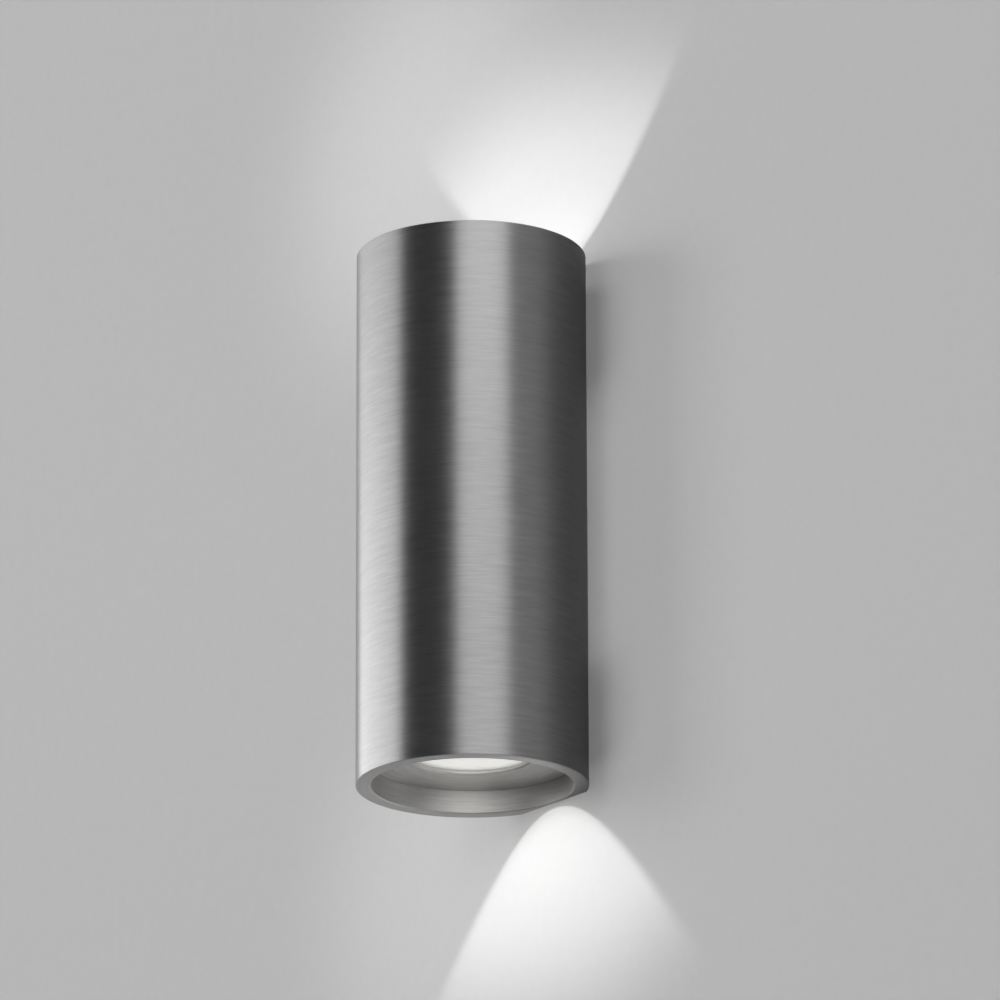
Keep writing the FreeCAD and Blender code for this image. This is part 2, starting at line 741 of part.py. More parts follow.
def end_screws(name, sign, turn):
    """Screws that hold an LED holder down and the chassis to the heat sink, at one end."""
    holder = [pan_screw("HolderScrew%d_%s" % (side, name),
                        S["holder_thick"] + S["sink_base"] - S["slip_gap"],
                        side * S["holder_screw_place"], 0, -holder_depth) for side in (1, -1)]
    keep(at_end(group("HolderScrews_" + name, holder), sign, turn), "holder_screws_" + name)
    carrier = [pan_screw("ChassisScrew%d_%s" % (side, name),
                         S["chassis_thick"] + S["fin_height"] - S["slip_gap"],
                         side * S["chassis_screw_place"], 0,
                         -(fin_depth + S["chassis_thick"]), UPSIDE_DOWN) for side in (1, -1)]
    keep(at_end(group("ChassisScrews_" + name, carrier), sign, turn), "chassis_screws_" + name)


def back_screws():
    """Countersunk screws that hold both heat sinks from the tube's flat back."""
    screws = []
    for side in (1, -1):
        for sign in (1, -1):
            name = "BackScrew_%d_%d" % (side, sign)
            x, z = side * S["back_screw_place"], sign * (half_height - S["back_screw_depth"])
            head = cone(name + "_head", S["countersink_radius"], S["screw_radius"],
                        countersink_height, x, -screw_sunk, z, FROM_WALL)
            shank = cylinder(name + "_shank", S["screw_radius"],
                             S["back_screw_length"] - screw_sunk, x, -screw_sunk, z, FROM_WALL)
            screws.append(fuse(name, [head, shank]))
    keep(group("BackScrews", screws), "back_screws")


def lock_screw(name, sign):
    """Hexagon-socket set screw through the tube's side, a hair short of the bracket's side."""
    y, z = -S["lock_inset"], sign * S["lock_place"]
    shank = cylinder("LockShank_" + name, S["lock_radius"], S["lock_length"], lock_x, y, z, TO_LEFT)
    socket = doc.addObject("Part::Prism", "LockSocket_" + name)
    socket.Polygon = 6
    bind(socket, "Circumradius", S["lock_key_across"] / math.sqrt(3))
    bind(socket, "Height", S["lock_key_across"] * 2)
    place(socket, lock_x - S["lock_length"] + S["lock_key_across"], y, z, TO_LEFT)
    keep(cut("Lock_" + name, shank, [socket]), "lock_screw_" + name)


# ---------------------------------------------------------------- wall bracket
def wall_bracket():
    """Folded steel channel with slots for the wall screws, a cable hole and an earth hole."""
    body = new_body("WallBracket")
    half, thick = bracket_width / 2, S["bracket_thick"]
    channel = new_sketch(body, "bracket_channel", "XY_Plane")
    front = -S["bracket_depth"]
    outline(channel, [(-half, 0), (half, 0), (half, front), (half - thick, front),
                      (half - thick, -thick), (thick - half, -thick), (thick - half, front),
                      (-half, front)])
    pad(body, channel, bracket_height, both_ways=True)

    def bend(edge, across, back):
        ends = [vertex.Point for vertex in edge.Vertexes]
        return (len(ends) == 2 and at(ends[0].x, ends[1].x) and at(ends[0].y, ends[1].y)
                and at(abs(ends[0].x), across) and at(ends[0].y, back))

    dress(body, "Fillet", S["bracket_bend"] + thick, lambda edge: bend(edge, half, 0))
    dress(body, "Fillet", S["bracket_bend"], lambda edge: bend(edge, half - thick, -thick))

    relief = half - 2 * thick
    for name, sign in (("top", 1), ("bottom", -1)):
        low = bracket_height / 2 - thick if sign > 0 else -(bracket_height / 2)
        lug = new_sketch(body, "bracket_" + name, "XY_Plane", low)
        reach = S["bracket_end_depth"]
        rectangle(lug, 2 * relief, reach, 0, -(reach / 2))
        pad(body, lug, thick)

    holes = new_sketch(body, "bracket_holes", "XZ_Plane")
    for sign in (1, -1):
        slot(holes, S["slot_width"], S["slot_length"], 0, sign * S["slot_spacing"] / 2)
    circle(holes, S["cable_hole_radius"], 0, -S["cable_hole_drop"])
    circle(holes, S["earth_screw_radius"] + S["fit_gap"], 0, S["earth_place"])
    pocket(body, holes, thick * 4, both_ways=True)
    keep(body, "wall_bracket")


def cable_grommet():
    """Rubber ring that lines the cable hole, with a flange inside the lamp."""
    body = new_body("Grommet")
    sketch = new_sketch(body, "grommet_section", "XZ_Plane")
    neck = S["cable_hole_radius"] - S["fit_gap"]
    flange = S["cable_hole_radius"] + S["grommet_flange"]
    front = S["bracket_thick"] + S["grommet_flange"]
    outline(sketch, [(S["cable_radius"], 0), (neck, 0), (neck, S["bracket_thick"]),
                     (flange, S["bracket_thick"]), (flange, front), (S["cable_radius"], front)])
    revolve(body, sketch)
    keep(place(body, 0, 0, -S["cable_hole_drop"], FROM_WALL), "cable_grommet")


def earth_point():
    """Earth screw and its washer, on the bracket."""
    z = S["earth_place"]
    face = -S["bracket_thick"]
    outside = cylinder("WasherOutside", S["washer_radius"], S["washer_thick"], 0, face, z, FROM_WALL)
    inside = cylinder("WasherInside", S["earth_screw_radius"] + S["fit_gap"],
                      S["washer_thick"] * 3, 0, face + S["washer_thick"], z, FROM_WALL)
    keep(cut("Washer", outside, [inside]), "earth_washer")
    start = -S["slip_gap"]
    top = face - S["washer_thick"]
    shank = cylinder("EarthShank", S["earth_screw_radius"],
                     S["bracket_thick"] + S["washer_thick"] + S["screw_head_height"] / 2
                     - S["slip_gap"], 0, start, z, FROM_WALL)
    head = cylinder("EarthHead", S["washer_radius"] - S["washer_thick"], S["screw_head_height"],
                    0, top, z, FROM_WALL)
    keep(fuse("EarthScrew", [shank, head]), "earth_screw")


# ---------------------------------------------------------------- chassis, driver and terminals
def chassis():
    """Folded strip between the two heat sinks, which carries the driver and the terminals."""
    body = new_body("Chassis")
    end, thick = chassis_end, S["chassis_thick"]
    tip = chassis_back - S["chassis_flange"]
    sketch = new_sketch(body, "chassis_fold", "YZ_Plane")
    outline(sketch, [(chassis_back, -end), (chassis_back, end), (tip, end), (tip, end - thick),
                     (chassis_front, end - thick), (chassis_front, thick - end),
                     (tip, thick - end), (tip, -end)])
    pad(body, sketch, S["chassis_width"], both_ways=True)

    def fold(edge, y, z):
        ends = [vertex.Point for vertex in edge.Vertexes]
        return (len(ends) == 2 and at(ends[0].y, ends[1].y) and at(ends[0].z, ends[1].z)
                and at(ends[0].y, y) and at(abs(ends[0].z), z))

    dress(body, "Fillet", S["chassis_bend"] + thick, lambda edge: fold(edge, chassis_back, end))
    dress(body, "Fillet", S["chassis_bend"],
          lambda edge: fold(edge, chassis_front, end - thick))
    flange_holes = new_sketch(body, "chassis_flange_holes", "XY_Plane")
    for side in (1, -1):
        circle(flange_holes, screw_hole_radius, side * S["chassis_screw_place"], axis_y)
    pocket(body, flange_holes, S["tube_height"], both_ways=True)
    face_holes = new_sketch(body, "chassis_face_holes", "XZ_Plane")
    rectangle(face_holes, S["lead_window_width"], S["lead_window_height"], 0, lead_over)
    for side in (1, -1):
        circle(face_holes, screw_hole_radius, side * S["driver_screw_across"],
               side * driver_screw_z)
        circle(face_holes, screw_hole_radius, side * S["block_pitch"] / 2, block_middle)
    circle(face_holes, screw_hole_radius, 0, tag_screw_z)
    pocket(body, face_holes, -chassis_front * 2 + thick, both_ways=True)
    keep(body, "chassis")


def corner_edges(width, deep_low, deep_high):
    """A test for the upright corner edges of a block."""
    def wanted(edge):
        ends = [vertex.Point for vertex in edge.Vertexes]
        return (len(ends) == 2 and at(ends[0].x, ends[1].x) and at(ends[0].y, ends[1].y)
                and at(abs(ends[0].x), width / 2)
                and (at(ends[0].y, deep_low) or at(ends[0].y, deep_high)))
    return wanted


def driver():
    """LED driver: a case, its lid towards the front, and an end cap over each terminal space."""
    width, lid = S["driver_width"], S["driver_lid_thick"]
    split = driver_front + lid

    case = new_body("DriverCase")
    sketch = new_sketch(case, "driver_case_section", "XY_Plane")
    rectangle(sketch, width, chassis_front - split, 0, (chassis_front + split) / 2)
    pad(case, sketch, driver_length, both_ways=True)
    dress(case, "Fillet", S["driver_corner"], corner_edges(width, chassis_front, chassis_front))
    screw_holes = new_sketch(case, "driver_screw_holes", "XZ_Plane", -chassis_front)
    for side in (1, -1):
        circle(screw_holes, screw_hole_radius, side * S["driver_screw_across"],
               side * driver_screw_z)
    pocket(case, screw_holes, 2 * S["driver_screw_deep"], both_ways=True)
    keep(case, "driver_case")

    cover = new_body("DriverLid")
    sketch = new_sketch(cover, "driver_lid_section", "XY_Plane")
    rectangle(sketch, width, lid, 0, driver_front + lid / 2)
    pad(cover, sketch, driver_length, both_ways=True)
    dress(cover, "Fillet", S["driver_corner"], corner_edges(width, driver_front, driver_front))
    keep(cover, "driver_lid")

    for name, sign in (("upper", 1), ("lower", -1)):
        cap = new_body("DriverCap_" + name)
        start = driver_end if sign > 0 else -cap_end
        sketch = new_sketch(cap, "driver_cap_section_" + name, "XY_Plane", start)
        rectangle(sketch, width, S["driver_depth"], 0, (chassis_front + driver_front) / 2)
        pad(cap, sketch, S["driver_cap_length"])
        dress(cap, "Fillet", S["driver_corner"],
              corner_edges(width, driver_front, chassis_front))
        holes = new_sketch(cap, "driver_cap_holes_" + name, "XY_Plane", sign * cap_end)
        for x, y in cap_leads(sign):
            circle(holes, S["lead_radius"] + S["fit_gap"], x, y)
        pocket(cap, holes, S["driver_entry_deep"], backwards=sign < 0)
        keep(cap, "driver_cap_" + name)


def cap_leads(sign):
    """Where leads enter a driver cap: mains at the upper one, LED leads at the lower one."""
    if sign > 0:
        middle = (chassis_front + driver_front) / 2
        return [(side * S["block_pitch"], middle) for side in (-1, 1)]
    front = driver_front + S["driver_lead_inset"]
    return [(place_ * S["lead_pitch"] / 2, front) for place_ in (-3, -1, 1, 3)]


def driver_screws():
    """Two screws through the chassis into the driver's case."""
    length = S["chassis_thick"] + S["driver_screw_deep"] - S["slip_gap"]
    screws = [pan_screw("DriverScrew%d" % side, length, side * S["driver_screw_across"],
                        chassis_back, side * driver_screw_z, TO_WALL) for side in (1, -1)]
    keep(group("DriverScrews", screws), "driver_screws")


def poles():
    """Sideways places of the terminal block's poles."""
    count = int(S["block_poles"].number)
    return [S["block_pitch"] * (index - (count - 1) / 2) for index in range(count)]


def terminal_block():
    """Moulded terminal block with wire holes above and below and screw wells towards the wall."""
    body = new_body("TerminalBlock")
    width = S["block_pitch"] * S["block_poles"]
    sketch = new_sketch(body, "block_outline", "XZ_Plane", -chassis_back)
    rectangle(sketch, width, S["block_height"], 0, block_middle)
    pad(body, sketch, S["block_depth"], backwards=True)
    for name, level, backwards in (("top", block_high, False), ("bottom", block_low, True)):
        wires = new_sketch(body, "block_wires_" + name, "XY_Plane", level)
        for x in poles():
            circle(wires, S["lead_radius"] + S["slip_gap"], x, wire_y)
        pocket(body, wires, S["block_wire_deep"], backwards=backwards)
    wells = new_sketch(body, "block_wells", "XZ_Plane", -(block_face - S["block_well_deep"]))
    for x, z in clamp_places():
        circle(wells, S["clamp_radius"] + S["slip_gap"] / 2, x, z)
    pocket(body, wells, S["block_well_deep"])
    grooves = new_sketch(body, "block_grooves", "XZ_Plane", -(block_face - S["block_groove"]))
    for left, right in zip(poles(), poles()[1:]):
        rectangle(grooves, S["block_groove"], S["block_height"] * 2, (left + right) / 2,
                  block_middle)
    pocket(body, grooves, S["block_groove"])
    fixing = new_sketch(body, "block_fixing", "XZ_Plane", -chassis_back)
    for side in (1, -1):
        circle(fixing, screw_hole_radius, side * S["block_pitch"] / 2, block_middle)
    pocket(body, fixing, S["block_depth"])
    heads = new_sketch(body, "block_heads", "XZ_Plane", -block_fixing)
    for side in (1, -1):
        circle(heads, S["screw_head_radius"] + S["fit_gap"], side * S["block_pitch"] / 2,
               block_middle)
    pocket(body, heads, S["block_depth"])
    keep(body, "terminal_block")


def clamp_places():
    """Sideways and upward places of the terminal screws: two to each pole."""
    low, high = block_low + S["block_well_inset"], block_high - S["block_well_inset"]
    return [(x, z) for x in poles() for z in (low, high)]


def terminal_screws():
    """The terminal block's clamping screws and the two screws that fix it to the chassis."""
    floor = block_face - S["block_well_deep"]
    clamps = [cylinder("Clamp%d" % index, S["clamp_radius"], S["clamp_height"], x, floor, z, TO_WALL)
              for index, (x, z) in enumerate(clamp_places())]
    keep(group("TerminalScrews", clamps), "terminal_screws")
    fixings = [pan_screw("BlockScrew%d" % side, block_fixing - chassis_front,
                         side * S["block_pitch"] / 2, block_fixing, block_middle, TO_WALL)
               for side in (1, -1)]
    keep(group("BlockScrews", fixings), "block_screws")


def earth_tag():
    """Bent tag that takes the earth lead, and the screw that holds it to the chassis."""
    half = S["tag_width"] / 2
    stand = box("TagStand", S["tag_width"], S["tag_stand"], S["tag_thick"],
                -half, chassis_back, tag_z)
    foot = box("TagFoot", S["tag_width"], S["tag_thick"], tag_foot, -half, chassis_back, tag_z)
    hole = cylinder("TagHole", screw_hole_radius, S["tag_thick"] * 3, 0,
                    chassis_back - S["tag_thick"], tag_screw_z, TO_WALL)
    keep(cut("Tag", fuse("TagSolid", [stand, foot]), [hole]), "earth_tag")
    screw = pan_screw("TagScrew", S["tag_thick"] + S["chassis_thick"], 0,
                      chassis_back + S["tag_thick"], tag_screw_z, TO_WALL)
    keep(screw, "earth_tag_screw")


# ---------------------------------------------------------------- leads
def rounded_path(points, bend):
    """Straight runs through a list of points, joined by tangent arcs."""
    edges = []
    start = points[0]
    for before, corner, after in zip(points, points[1:], points[2:]):
        back = (before - corner).normalize()
        ahead = (after - corner).normalize()
        half_turn = (math.pi - back.getAngle(ahead)) / 2
        shorter = min((before - corner).Length, (after - corner).Length)
        # a middle run is shared by the arcs at its two ends
        reach = min(bend * math.tan(half_turn), 0.45 * shorter)
        radius = reach / math.tan(half_turn)
        leave, join = corner + back * reach, corner + ahead * reach
        inward = (back + ahead).normalize()
        middle = corner + inward * (radius / math.cos(half_turn) - radius)
        edges.append(Part.LineSegment(start, leave).toShape())
        edges.append(Part.Arc(leave, middle, join).toShape())
        start = join
    edges.append(Part.LineSegment(start, points[-1]).toShape())
    return Part.Wire(edges)


def lead(name, points, bend):
    """One insulated wire swept along its route."""
    route = [Vector(*[Size.of(value).number for value in point]) for point in points]
    path = rounded_path(route, bend.number)
    radius = S["lead_radius"].number
    ring = Part.Circle(route[0], route[1] - route[0], radius)
    solid = path.makePipeShell([Part.Wire([ring.toShape()])], True, False)
    expected = math.pi * radius ** 2 * path.Length
    if abs(solid.Volume / expected - 1) > 0.01:
        raise RuntimeError("%s is swept wrongly: %.1f, not %.1f" % (name, solid.Volume, expected))
    thing = doc.addObject("Part::Feature", "Lead_" + name)
    thing.Shape = solid
    return keep(thing, name)


def led_leads():
    """Two leads to each LED, from the driver's lower cap."""
    front = driver_front + S["driver_lead_inset"]
    turn_z = -(cap_end + 2 * S["lead_bend"] + S["lead_radius"])
    contact_y = axis_y - S["contact_reach"]
    contact_z = half_height - holder_depth - S["holder_thick"] / 2
    for colour, side in (("red", 1), ("black", -1)):
        near, wide = side * S["lead_pitch"] / 2, side * S["lead_pitch"] * 1.5
        lead("led_lead_lower_" + colour, [
            (near, front, S["driver_entry_deep"] - cap_end),
            (near, front, turn_z),
            (near, lead_y, turn_z),
            (near, lead_y, -contact_z),
            (near, contact_y, -contact_z),
        ], S["lead_bend"])
        lead("led_lead_upper_" + colour, [
            (wide, front, S["driver_entry_deep"] - cap_end),
            (wide, front, turn_z),
            (wide, lead_y, turn_z),
            (wide, lead_y, -driver_end),
            (near, lead_y, driver_end),
            (near, lead_y, contact_z),
            (near, contact_y, contact_z),
        ], S["lead_bend"])


def mains_leads():
    """Live and neutral from the terminals over the chassis to the driver, and the earth lead."""
    bottom = block_high - S["block_wire_deep"]
    middle = (chassis_front + driver_front) / 2
    for name, x in (("live_lead", -S["block_pitch"]), ("neutral_lead", S["block_pitch"])):
        lead(name, [
            (x, wire_y, bottom),
            (x, wire_y, lead_over),
            (x, middle, lead_over),
            (x, middle, cap_end - S["driver_entry_deep"]),
        ], S["lead_bend"])
    lead("earth_lead", [(0, wire_y, bottom), (0, wire_y, tag_z)], S["lead_bend"])


# ---------------------------------------------------------------- build, check and write
def build():
    tube_body()
    for name, sign, turn in ENDS:
        bezel(name, sign, turn)
        lens(name, sign, turn)
        lens_seal(name, sign, turn)
        reflector(name, sign, turn)
        led(name, sign, turn)
        led_holder(name, sign, turn)
        heat_sink(name, sign, turn)
        end_screws(name, sign, turn)
        lock_screw(name, sign)
    back_screws()
    wall_bracket()
    cable_grommet()
    earth_point()
    chassis()
    driver()
    driver_screws()
    terminal_block()
    terminal_screws()
    earth_tag()
    led_leads()
    mains_leads()
    doc.recompute()


def check():
    """Stops if anything in the document failed or a piece has no sound solid."""
    for thing in doc.Objects:
        if "Invalid" in thing.State or "Error" in thing.State:
            raise RuntimeError("%s failed: %s" % (thing.Name, thing.State))
    for name, thing in pieces.items():
        shape = thing.Shape
        if shape.isNull() or not shape.isValid() or not shape.Solids:
            raise RuntimeError(name + " has no sound solid")


def write():
    """One STEP file for each piece."""
    os.makedirs("parts", exist_ok=True)
    for name, thing in pieces.items():
        thing.Shape.exportStep(os.path.join("parts", name + ".step"))
    print("%d pieces, %d solids" % (len(pieces), sum(len(t.Shape.Solids) for t in pieces.values())))


build()
check()
write()
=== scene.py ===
"""Up and down tube wall light, dressed for rendering.

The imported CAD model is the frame. Its tube, bezels and lenses are replaced by smooth surfaces that
numpy works out, every other node keeps its solid, and all of them get procedural finishes. +Z is up,
+Y points into the wall, and the wall is the plane y = 0. Sizes are in metres.
"""
import json
import math

import bpy
import numpy as np
from bpy.props import FloatProperty, FloatVectorProperty, PointerProperty
from mathutils import Matrix, Vector


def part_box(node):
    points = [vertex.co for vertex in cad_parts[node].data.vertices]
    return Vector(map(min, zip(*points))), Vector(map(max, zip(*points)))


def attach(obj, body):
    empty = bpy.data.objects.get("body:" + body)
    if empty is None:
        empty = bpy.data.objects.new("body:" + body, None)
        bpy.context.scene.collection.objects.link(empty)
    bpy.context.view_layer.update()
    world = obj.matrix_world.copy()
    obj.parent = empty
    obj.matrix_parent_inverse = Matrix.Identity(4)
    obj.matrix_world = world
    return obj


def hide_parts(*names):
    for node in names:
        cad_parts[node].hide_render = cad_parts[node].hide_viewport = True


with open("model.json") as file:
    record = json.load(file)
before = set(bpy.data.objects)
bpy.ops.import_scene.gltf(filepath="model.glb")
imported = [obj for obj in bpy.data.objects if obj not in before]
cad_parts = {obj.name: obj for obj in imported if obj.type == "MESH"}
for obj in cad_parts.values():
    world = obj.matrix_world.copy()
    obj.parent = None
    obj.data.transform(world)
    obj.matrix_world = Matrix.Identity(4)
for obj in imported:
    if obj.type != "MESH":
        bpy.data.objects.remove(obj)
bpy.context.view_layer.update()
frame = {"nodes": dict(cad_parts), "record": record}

bl_info = {
    "name": "Tube wall light",
    "version": (1, 0, 0),
    "blender": (4, 5, 0),
    "location": "View3D > Sidebar > Tube light",
    "description": "Smooth surfaces, finishes and a studio for a flat-backed tube wall light",
    "category": "Object",
}

TUBE_LOW, TUBE_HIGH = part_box("tube_body")
TUBE_RADIUS = (TUBE_HIGH[0] - TUBE_LOW[0]) / 2
HALF_HEIGHT = (TUBE_HIGH[2] - TUBE_LOW[2]) / 2
AXIS_Y = TUBE_LOW[1] + TUBE_RADIUS
FLAT_DEPTH = TUBE_HIGH[1] - AXIS_Y
ENDS = (("upper", 1), ("lower", -1))


# ---------------- sizes and colours
def length(name, description, default):
    """A size in metres."""
    return FloatProperty(name=name, description=description, default=default, min=0.0,
                         precision=5, unit="LENGTH", subtype="DISTANCE")


def angle(name, description, degrees):
    """An angle, given here in degrees."""
    return FloatProperty(name=name, description=description, default=math.radians(degrees),
                         subtype="ANGLE", unit="ROTATION")


def colour(name, description, default):
    """A linear colour."""
    return FloatVectorProperty(name=name, description=description, default=default, size=3,
                               min=0.0, max=1.0, subtype="COLOR")


def amount(name, description, default):
    """A plain number from 0 upwards."""
    return FloatProperty(name=name, description=description, default=default, min=0.0)


class TubeSizes(bpy.types.PropertyGroup):
    """Sizes of the flat-backed tube."""

    bore_radius: length("Bore radius", "Inside radius of the tube", 0.033)
    corner: length("Corner", "Rounding where the flat back meets the round", 0.0008)
    rim_bevel: length("Rim bevel", "Bevel round the outer edge of each end", 0.0002)
    mouth_bevel: length("Mouth bevel", "Bevel round the inner edge of each end", 0.00035)
    window_width: length("Window width", "Opening in the flat back", 0.026)
    window_height: length("Window height", "Opening in the flat back", 0.080)
    back_screw_place: length("Back screw place", "Sideways from the middle", 0.012)
    back_screw_depth: length("Back screw depth", "In from each end face", 0.023)
    countersink: length("Countersink", "Radius of the countersinks at the flat", 0.00305)
    screw_hole: length("Screw hole", "Radius of the back screw holes", 0.00155)
    lock_hole: length("Lock hole", "Radius of the set screw holes", 0.00205)
    lock_place: length("Lock place", "Above and below the middle", 0.026)
    lock_inset: length("Lock inset", "In front of the wall", 0.0058)
    lock_floor: length("Lock floor", "Tube axis to the bottom of a set screw hole", 0.0209)
    patch: length("Patch", "Half width of the mesh patch round a hole", 0.004)


class BezelSizes(bpy.types.PropertyGroup):
    """Sizes of the ring in each mouth."""

    radius: length("Radius", "Outside of the ring", 0.03295)
    depth: length("Depth", "End face to the ring's outer edge", 0.0077)
    dish: length("Dish", "How far its face sinks towards the lens", 0.0018)
    lip: length("Lip", "Thickness over the lens", 0.0012)
    lip_round: length("Lip rounding", "Rounding of the lip's edge", 0.0008)
    land: length("Land", "Length of its threaded rim", 0.007)
    light_radius: length("Light radius", "Clear opening over the lens", 0.0195)
    seat_radius: length("Seat radius", "Room for the lens", 0.0216)
    edge: length("Edge", "Break of its sharp edges", 0.00015)
    key_radius: length("Key radius", "Holes for a two-pin key", 0.0012)
    key_floor: length("Key floor", "End face to the bottom of a key hole", 0.0106)
    key_turn: angle("Key turn", "How far the key holes stand round from the X axis", -52.0)


class LensSizes(bpy.types.PropertyGroup):
    """Sizes of the frosted disc behind each bezel."""

    radius: length("Radius", "Outside of the disc", 0.0213)
    thickness: length("Thickness", "Of the glass", 0.003)
    bevel: length("Bevel", "Of its edges", 0.0004)
    depth: length("Depth", "End face to the glass", 0.011)


class Finishes(bpy.types.PropertyGroup):
    """Colours of what shows from a step away."""

    tube: colour("Tube", "Brushed metal of the tube", (0.30, 0.296, 0.298))
    rim: colour("Rim", "Turned metal of the end faces", (0.42, 0.418, 0.416))
    # painted light in part: the bore is a satin finish, and its colour is also set lighter than the
    # tube's outside metal to brighten the mouth, standing in for light that doesn't reach it
    bore: colour("Bore", "Satin metal inside the mouths", (0.50, 0.488, 0.478))
    # painted light in part: the rings are turned metal, and their colour is also set light to
    # brighten the mouths, standing in for light that doesn't reach them
    bezel: colour("Bezel", "Turned metal of the rings", (0.56, 0.545, 0.535))
    lens: colour("Lens", "Frosted glass", (0.82, 0.82, 0.80))
    light: colour("Light", "Colour that the glass gives off", (1.0, 0.985, 0.955))
    light_strength: amount("Light strength", "Strength of the glass seen straight on", 1.75)


class Studio(bpy.types.PropertyGroup):
    """Wall, floor, lights and camera."""

    wall: colour("Wall", "Pale wall behind the lamp", (0.70, 0.702, 0.70))
    floor: colour("Floor", "Pale floor", (0.62, 0.62, 0.61))
    background: colour("Background", "What the camera sees past wall and floor",
                       (0.46, 0.462, 0.46))
    room: colour("Room", "What the lamp mirrors from before the wall", (0.05, 0.05, 0.052))
    floor_drop: length("Floor drop", "Middle of the lamp to the floor", 1.6)
    left_glow: amount("Left glow", "Radiance of the left softbox", 4.0)
    right_glow: amount("Right glow", "Radiance of the right softbox", 3.35)
    low_glow: amount("Low glow", "Radiance of the softbox under the right one", 1.1)
    top_glow: amount("Top glow", "Radiance of the overhead softbox", 0.6)
    back_glow: amount("Back glow", "Radiance of the two softboxes behind the wall", 1.4)
    wash_even: amount("Even wash", "Wall light that casts no shadow, in watts", 37.0)
    wash_right: amount("Right wash", "Wall light from the right, in watts", 6.0)
    wash_left: amount("Left wash", "Wall light from the left, in watts", 17.0)
    beam: amount("Beam", "Strength of each beam on the wall", 48.5)
    lens_glow: amount("Lens glow", "Radiance that each glass throws on its mouth", 2.8)
    spill: amount("Spill", "Strength of the soft light beside each beam", 0.13)
    camera_distance: length("Camera distance", "From the tube's axis, over the floor", 2.5859)
    camera_azimuth: angle("Camera azimuth", "0 looks along +Y", 52.704)
    camera_drop: length("Camera drop", "Below the lower rim", 0.73245)
    camera_tilt: angle("Camera tilt", "Upwards", 17.800)
    camera_pan: angle("Camera pan", "To the right", 0.2063)
    camera_roll: angle("Camera roll", "Anticlockwise", -0.1806)
    camera_lens: FloatProperty(name="Camera lens", description="Focal length in millimetres",
                               default=297.34, min=1.0, subtype="DISTANCE_CAMERA", unit="CAMERA")


class TubeLight(bpy.types.PropertyGroup):
    """Everything that the operators read."""

    tube: PointerProperty(type=TubeSizes)
    bezel: PointerProperty(type=BezelSizes)
    lens: PointerProperty(type=LensSizes)
    finishes: PointerProperty(type=Finishes)
    studio: PointerProperty(type=Studio)


# ---------------- surfaces
def spaced(knots, step):
    """Values from the first knot to the last, through every knot, at most a step apart."""
    runs = [np.linspace(a, b, max(1, math.ceil(abs(b - a) / step - 1e-9)) + 1)[:-1]
            for a, b in zip(knots, knots[1:])]
    return np.concatenate(runs + [[knots[-1]]])


def sheet_of(points, outward=True, left_out=()):
    """The quads of a grid of points, without the cells in the given blocks.

    A block is (first row, last row, first column, last column), as line numbers of the grid.
    """
    rows, columns = points.shape[:2]
    number = np.arange(rows * columns).reshape(rows, columns)
    kept = np.ones((rows - 1, columns - 1), bool)
    for low, high, first, last in left_out:
        kept[low:high, first:last] = False
    corners = [number[:-1, :-1], number[:-1, 1:], number[1:, 1:], number[1:, :-1]]
    if not outward:
        corners.reverse()
    quads = np.stack([corner[kept] for corner in corners], axis=1)
    return points.reshape(-1, 3), quads


def join(sheets, grain=1e-7):
    """One surface of several sheets: points that lie on one another become one point."""
    shifts = np.cumsum([0] + [len(points) for points, _ in sheets[:-1]])
    points = np.concatenate([points for points, _ in sheets])
    quads = np.concatenate([quads + shift for (_, quads), shift in zip(sheets, shifts)])
    keys = np.floor(points / grain + 0.37).astype(np.int64)
    _, first, where = np.unique(keys, axis=0, return_index=True, return_inverse=True)
    return points[first], where.reshape(-1)[quads]


def round_block(points, block):
    """Line numbers of the points round a block of a grid, in order and without a repeat."""
    low, high, first, last = block
    ahead = [(low, column) for column in range(first, last)]
    up = [(row, last) for row in range(low, high)]
    back = [(high, column) for column in range(last, first, -1)]
    down = [(row, first) for row in range(high, low, -1)]
    rows, columns = np.array(ahead + up + back + down).T
    return points[rows, columns]


def ring_patch(edge, middle, radius, layers=5):
    """Plane coordinates between a circle and an edge round it, as a closed grid.

    Each point of the edge is joined to the circle's point in its own direction, and the layers
    between them are evenly spaced.
    """
    away = edge - middle
    circle = middle + radius * away / np.linalg.norm(away, axis=1, keepdims=True)
    share = np.linspace(0, 1, layers + 1)[:, None, None]
    grid = circle * (1 - share) + edge * share
    return np.concatenate([grid, grid[:, :1]], axis=1)


def with_floor(plan, level, edge, middle, rings):
    """A patch and its levels, carried on inwards from its circle by rings (radius, level)."""
    for radius, floor in rings:
        plan = np.concatenate([ring_patch(edge, middle, radius, layers=1)[:1], plan])
        level = np.concatenate([np.full_like(level[:1], floor), level])
    return plan, level


def turned(profile, angles):
    """A profile of (radius, height) pairs carried round the Z axis, as a grid of points."""
    radius, height = profile[:, 0][:, None], profile[:, 1][:, None]
    return np.stack([radius * np.cos(angles), radius * np.sin(angles),
                     height + 0 * angles], axis=2)


def outer_section(swing, radius, flat, corner, inset):
    """Outline of the tube at angles from the flat's middle, moved inwards by an inset.

    The outline is the circle, the flat's line, or the small circle that touches both, whichever
    the ray from the axis meets in its range.
    """
    swing = np.abs(swing)
    middle_y = flat - corner
    middle_x = math.sqrt((radius - corner) ** 2 - middle_y ** 2)
    along = middle_x * np.sin(swing) + middle_y * np.cos(swing)
    away = middle_x ** 2 + middle_y ** 2 - (corner - inset) ** 2
    on_corner = along + np.sqrt(np.maximum(along ** 2 - away, 0))
    on_flat = (flat - inset) / np.maximum(np.cos(swing), 1e-6)
    reach = np.where(swing < math.atan2(middle_x, flat - inset), on_flat, on_corner)
    return np.where(swing > math.atan2(middle_x, middle_y), radius - inset, reach)


def wall_points(swing, reach, height):
    """Points at angles from the flat's middle, distances from the axis and heights."""
    swing, reach, height = np.broadcast_arrays(swing, reach, height)
    return np.stack([reach * np.sin(swing), AXIS_Y + reach * np.cos(swing), height], axis=-1)


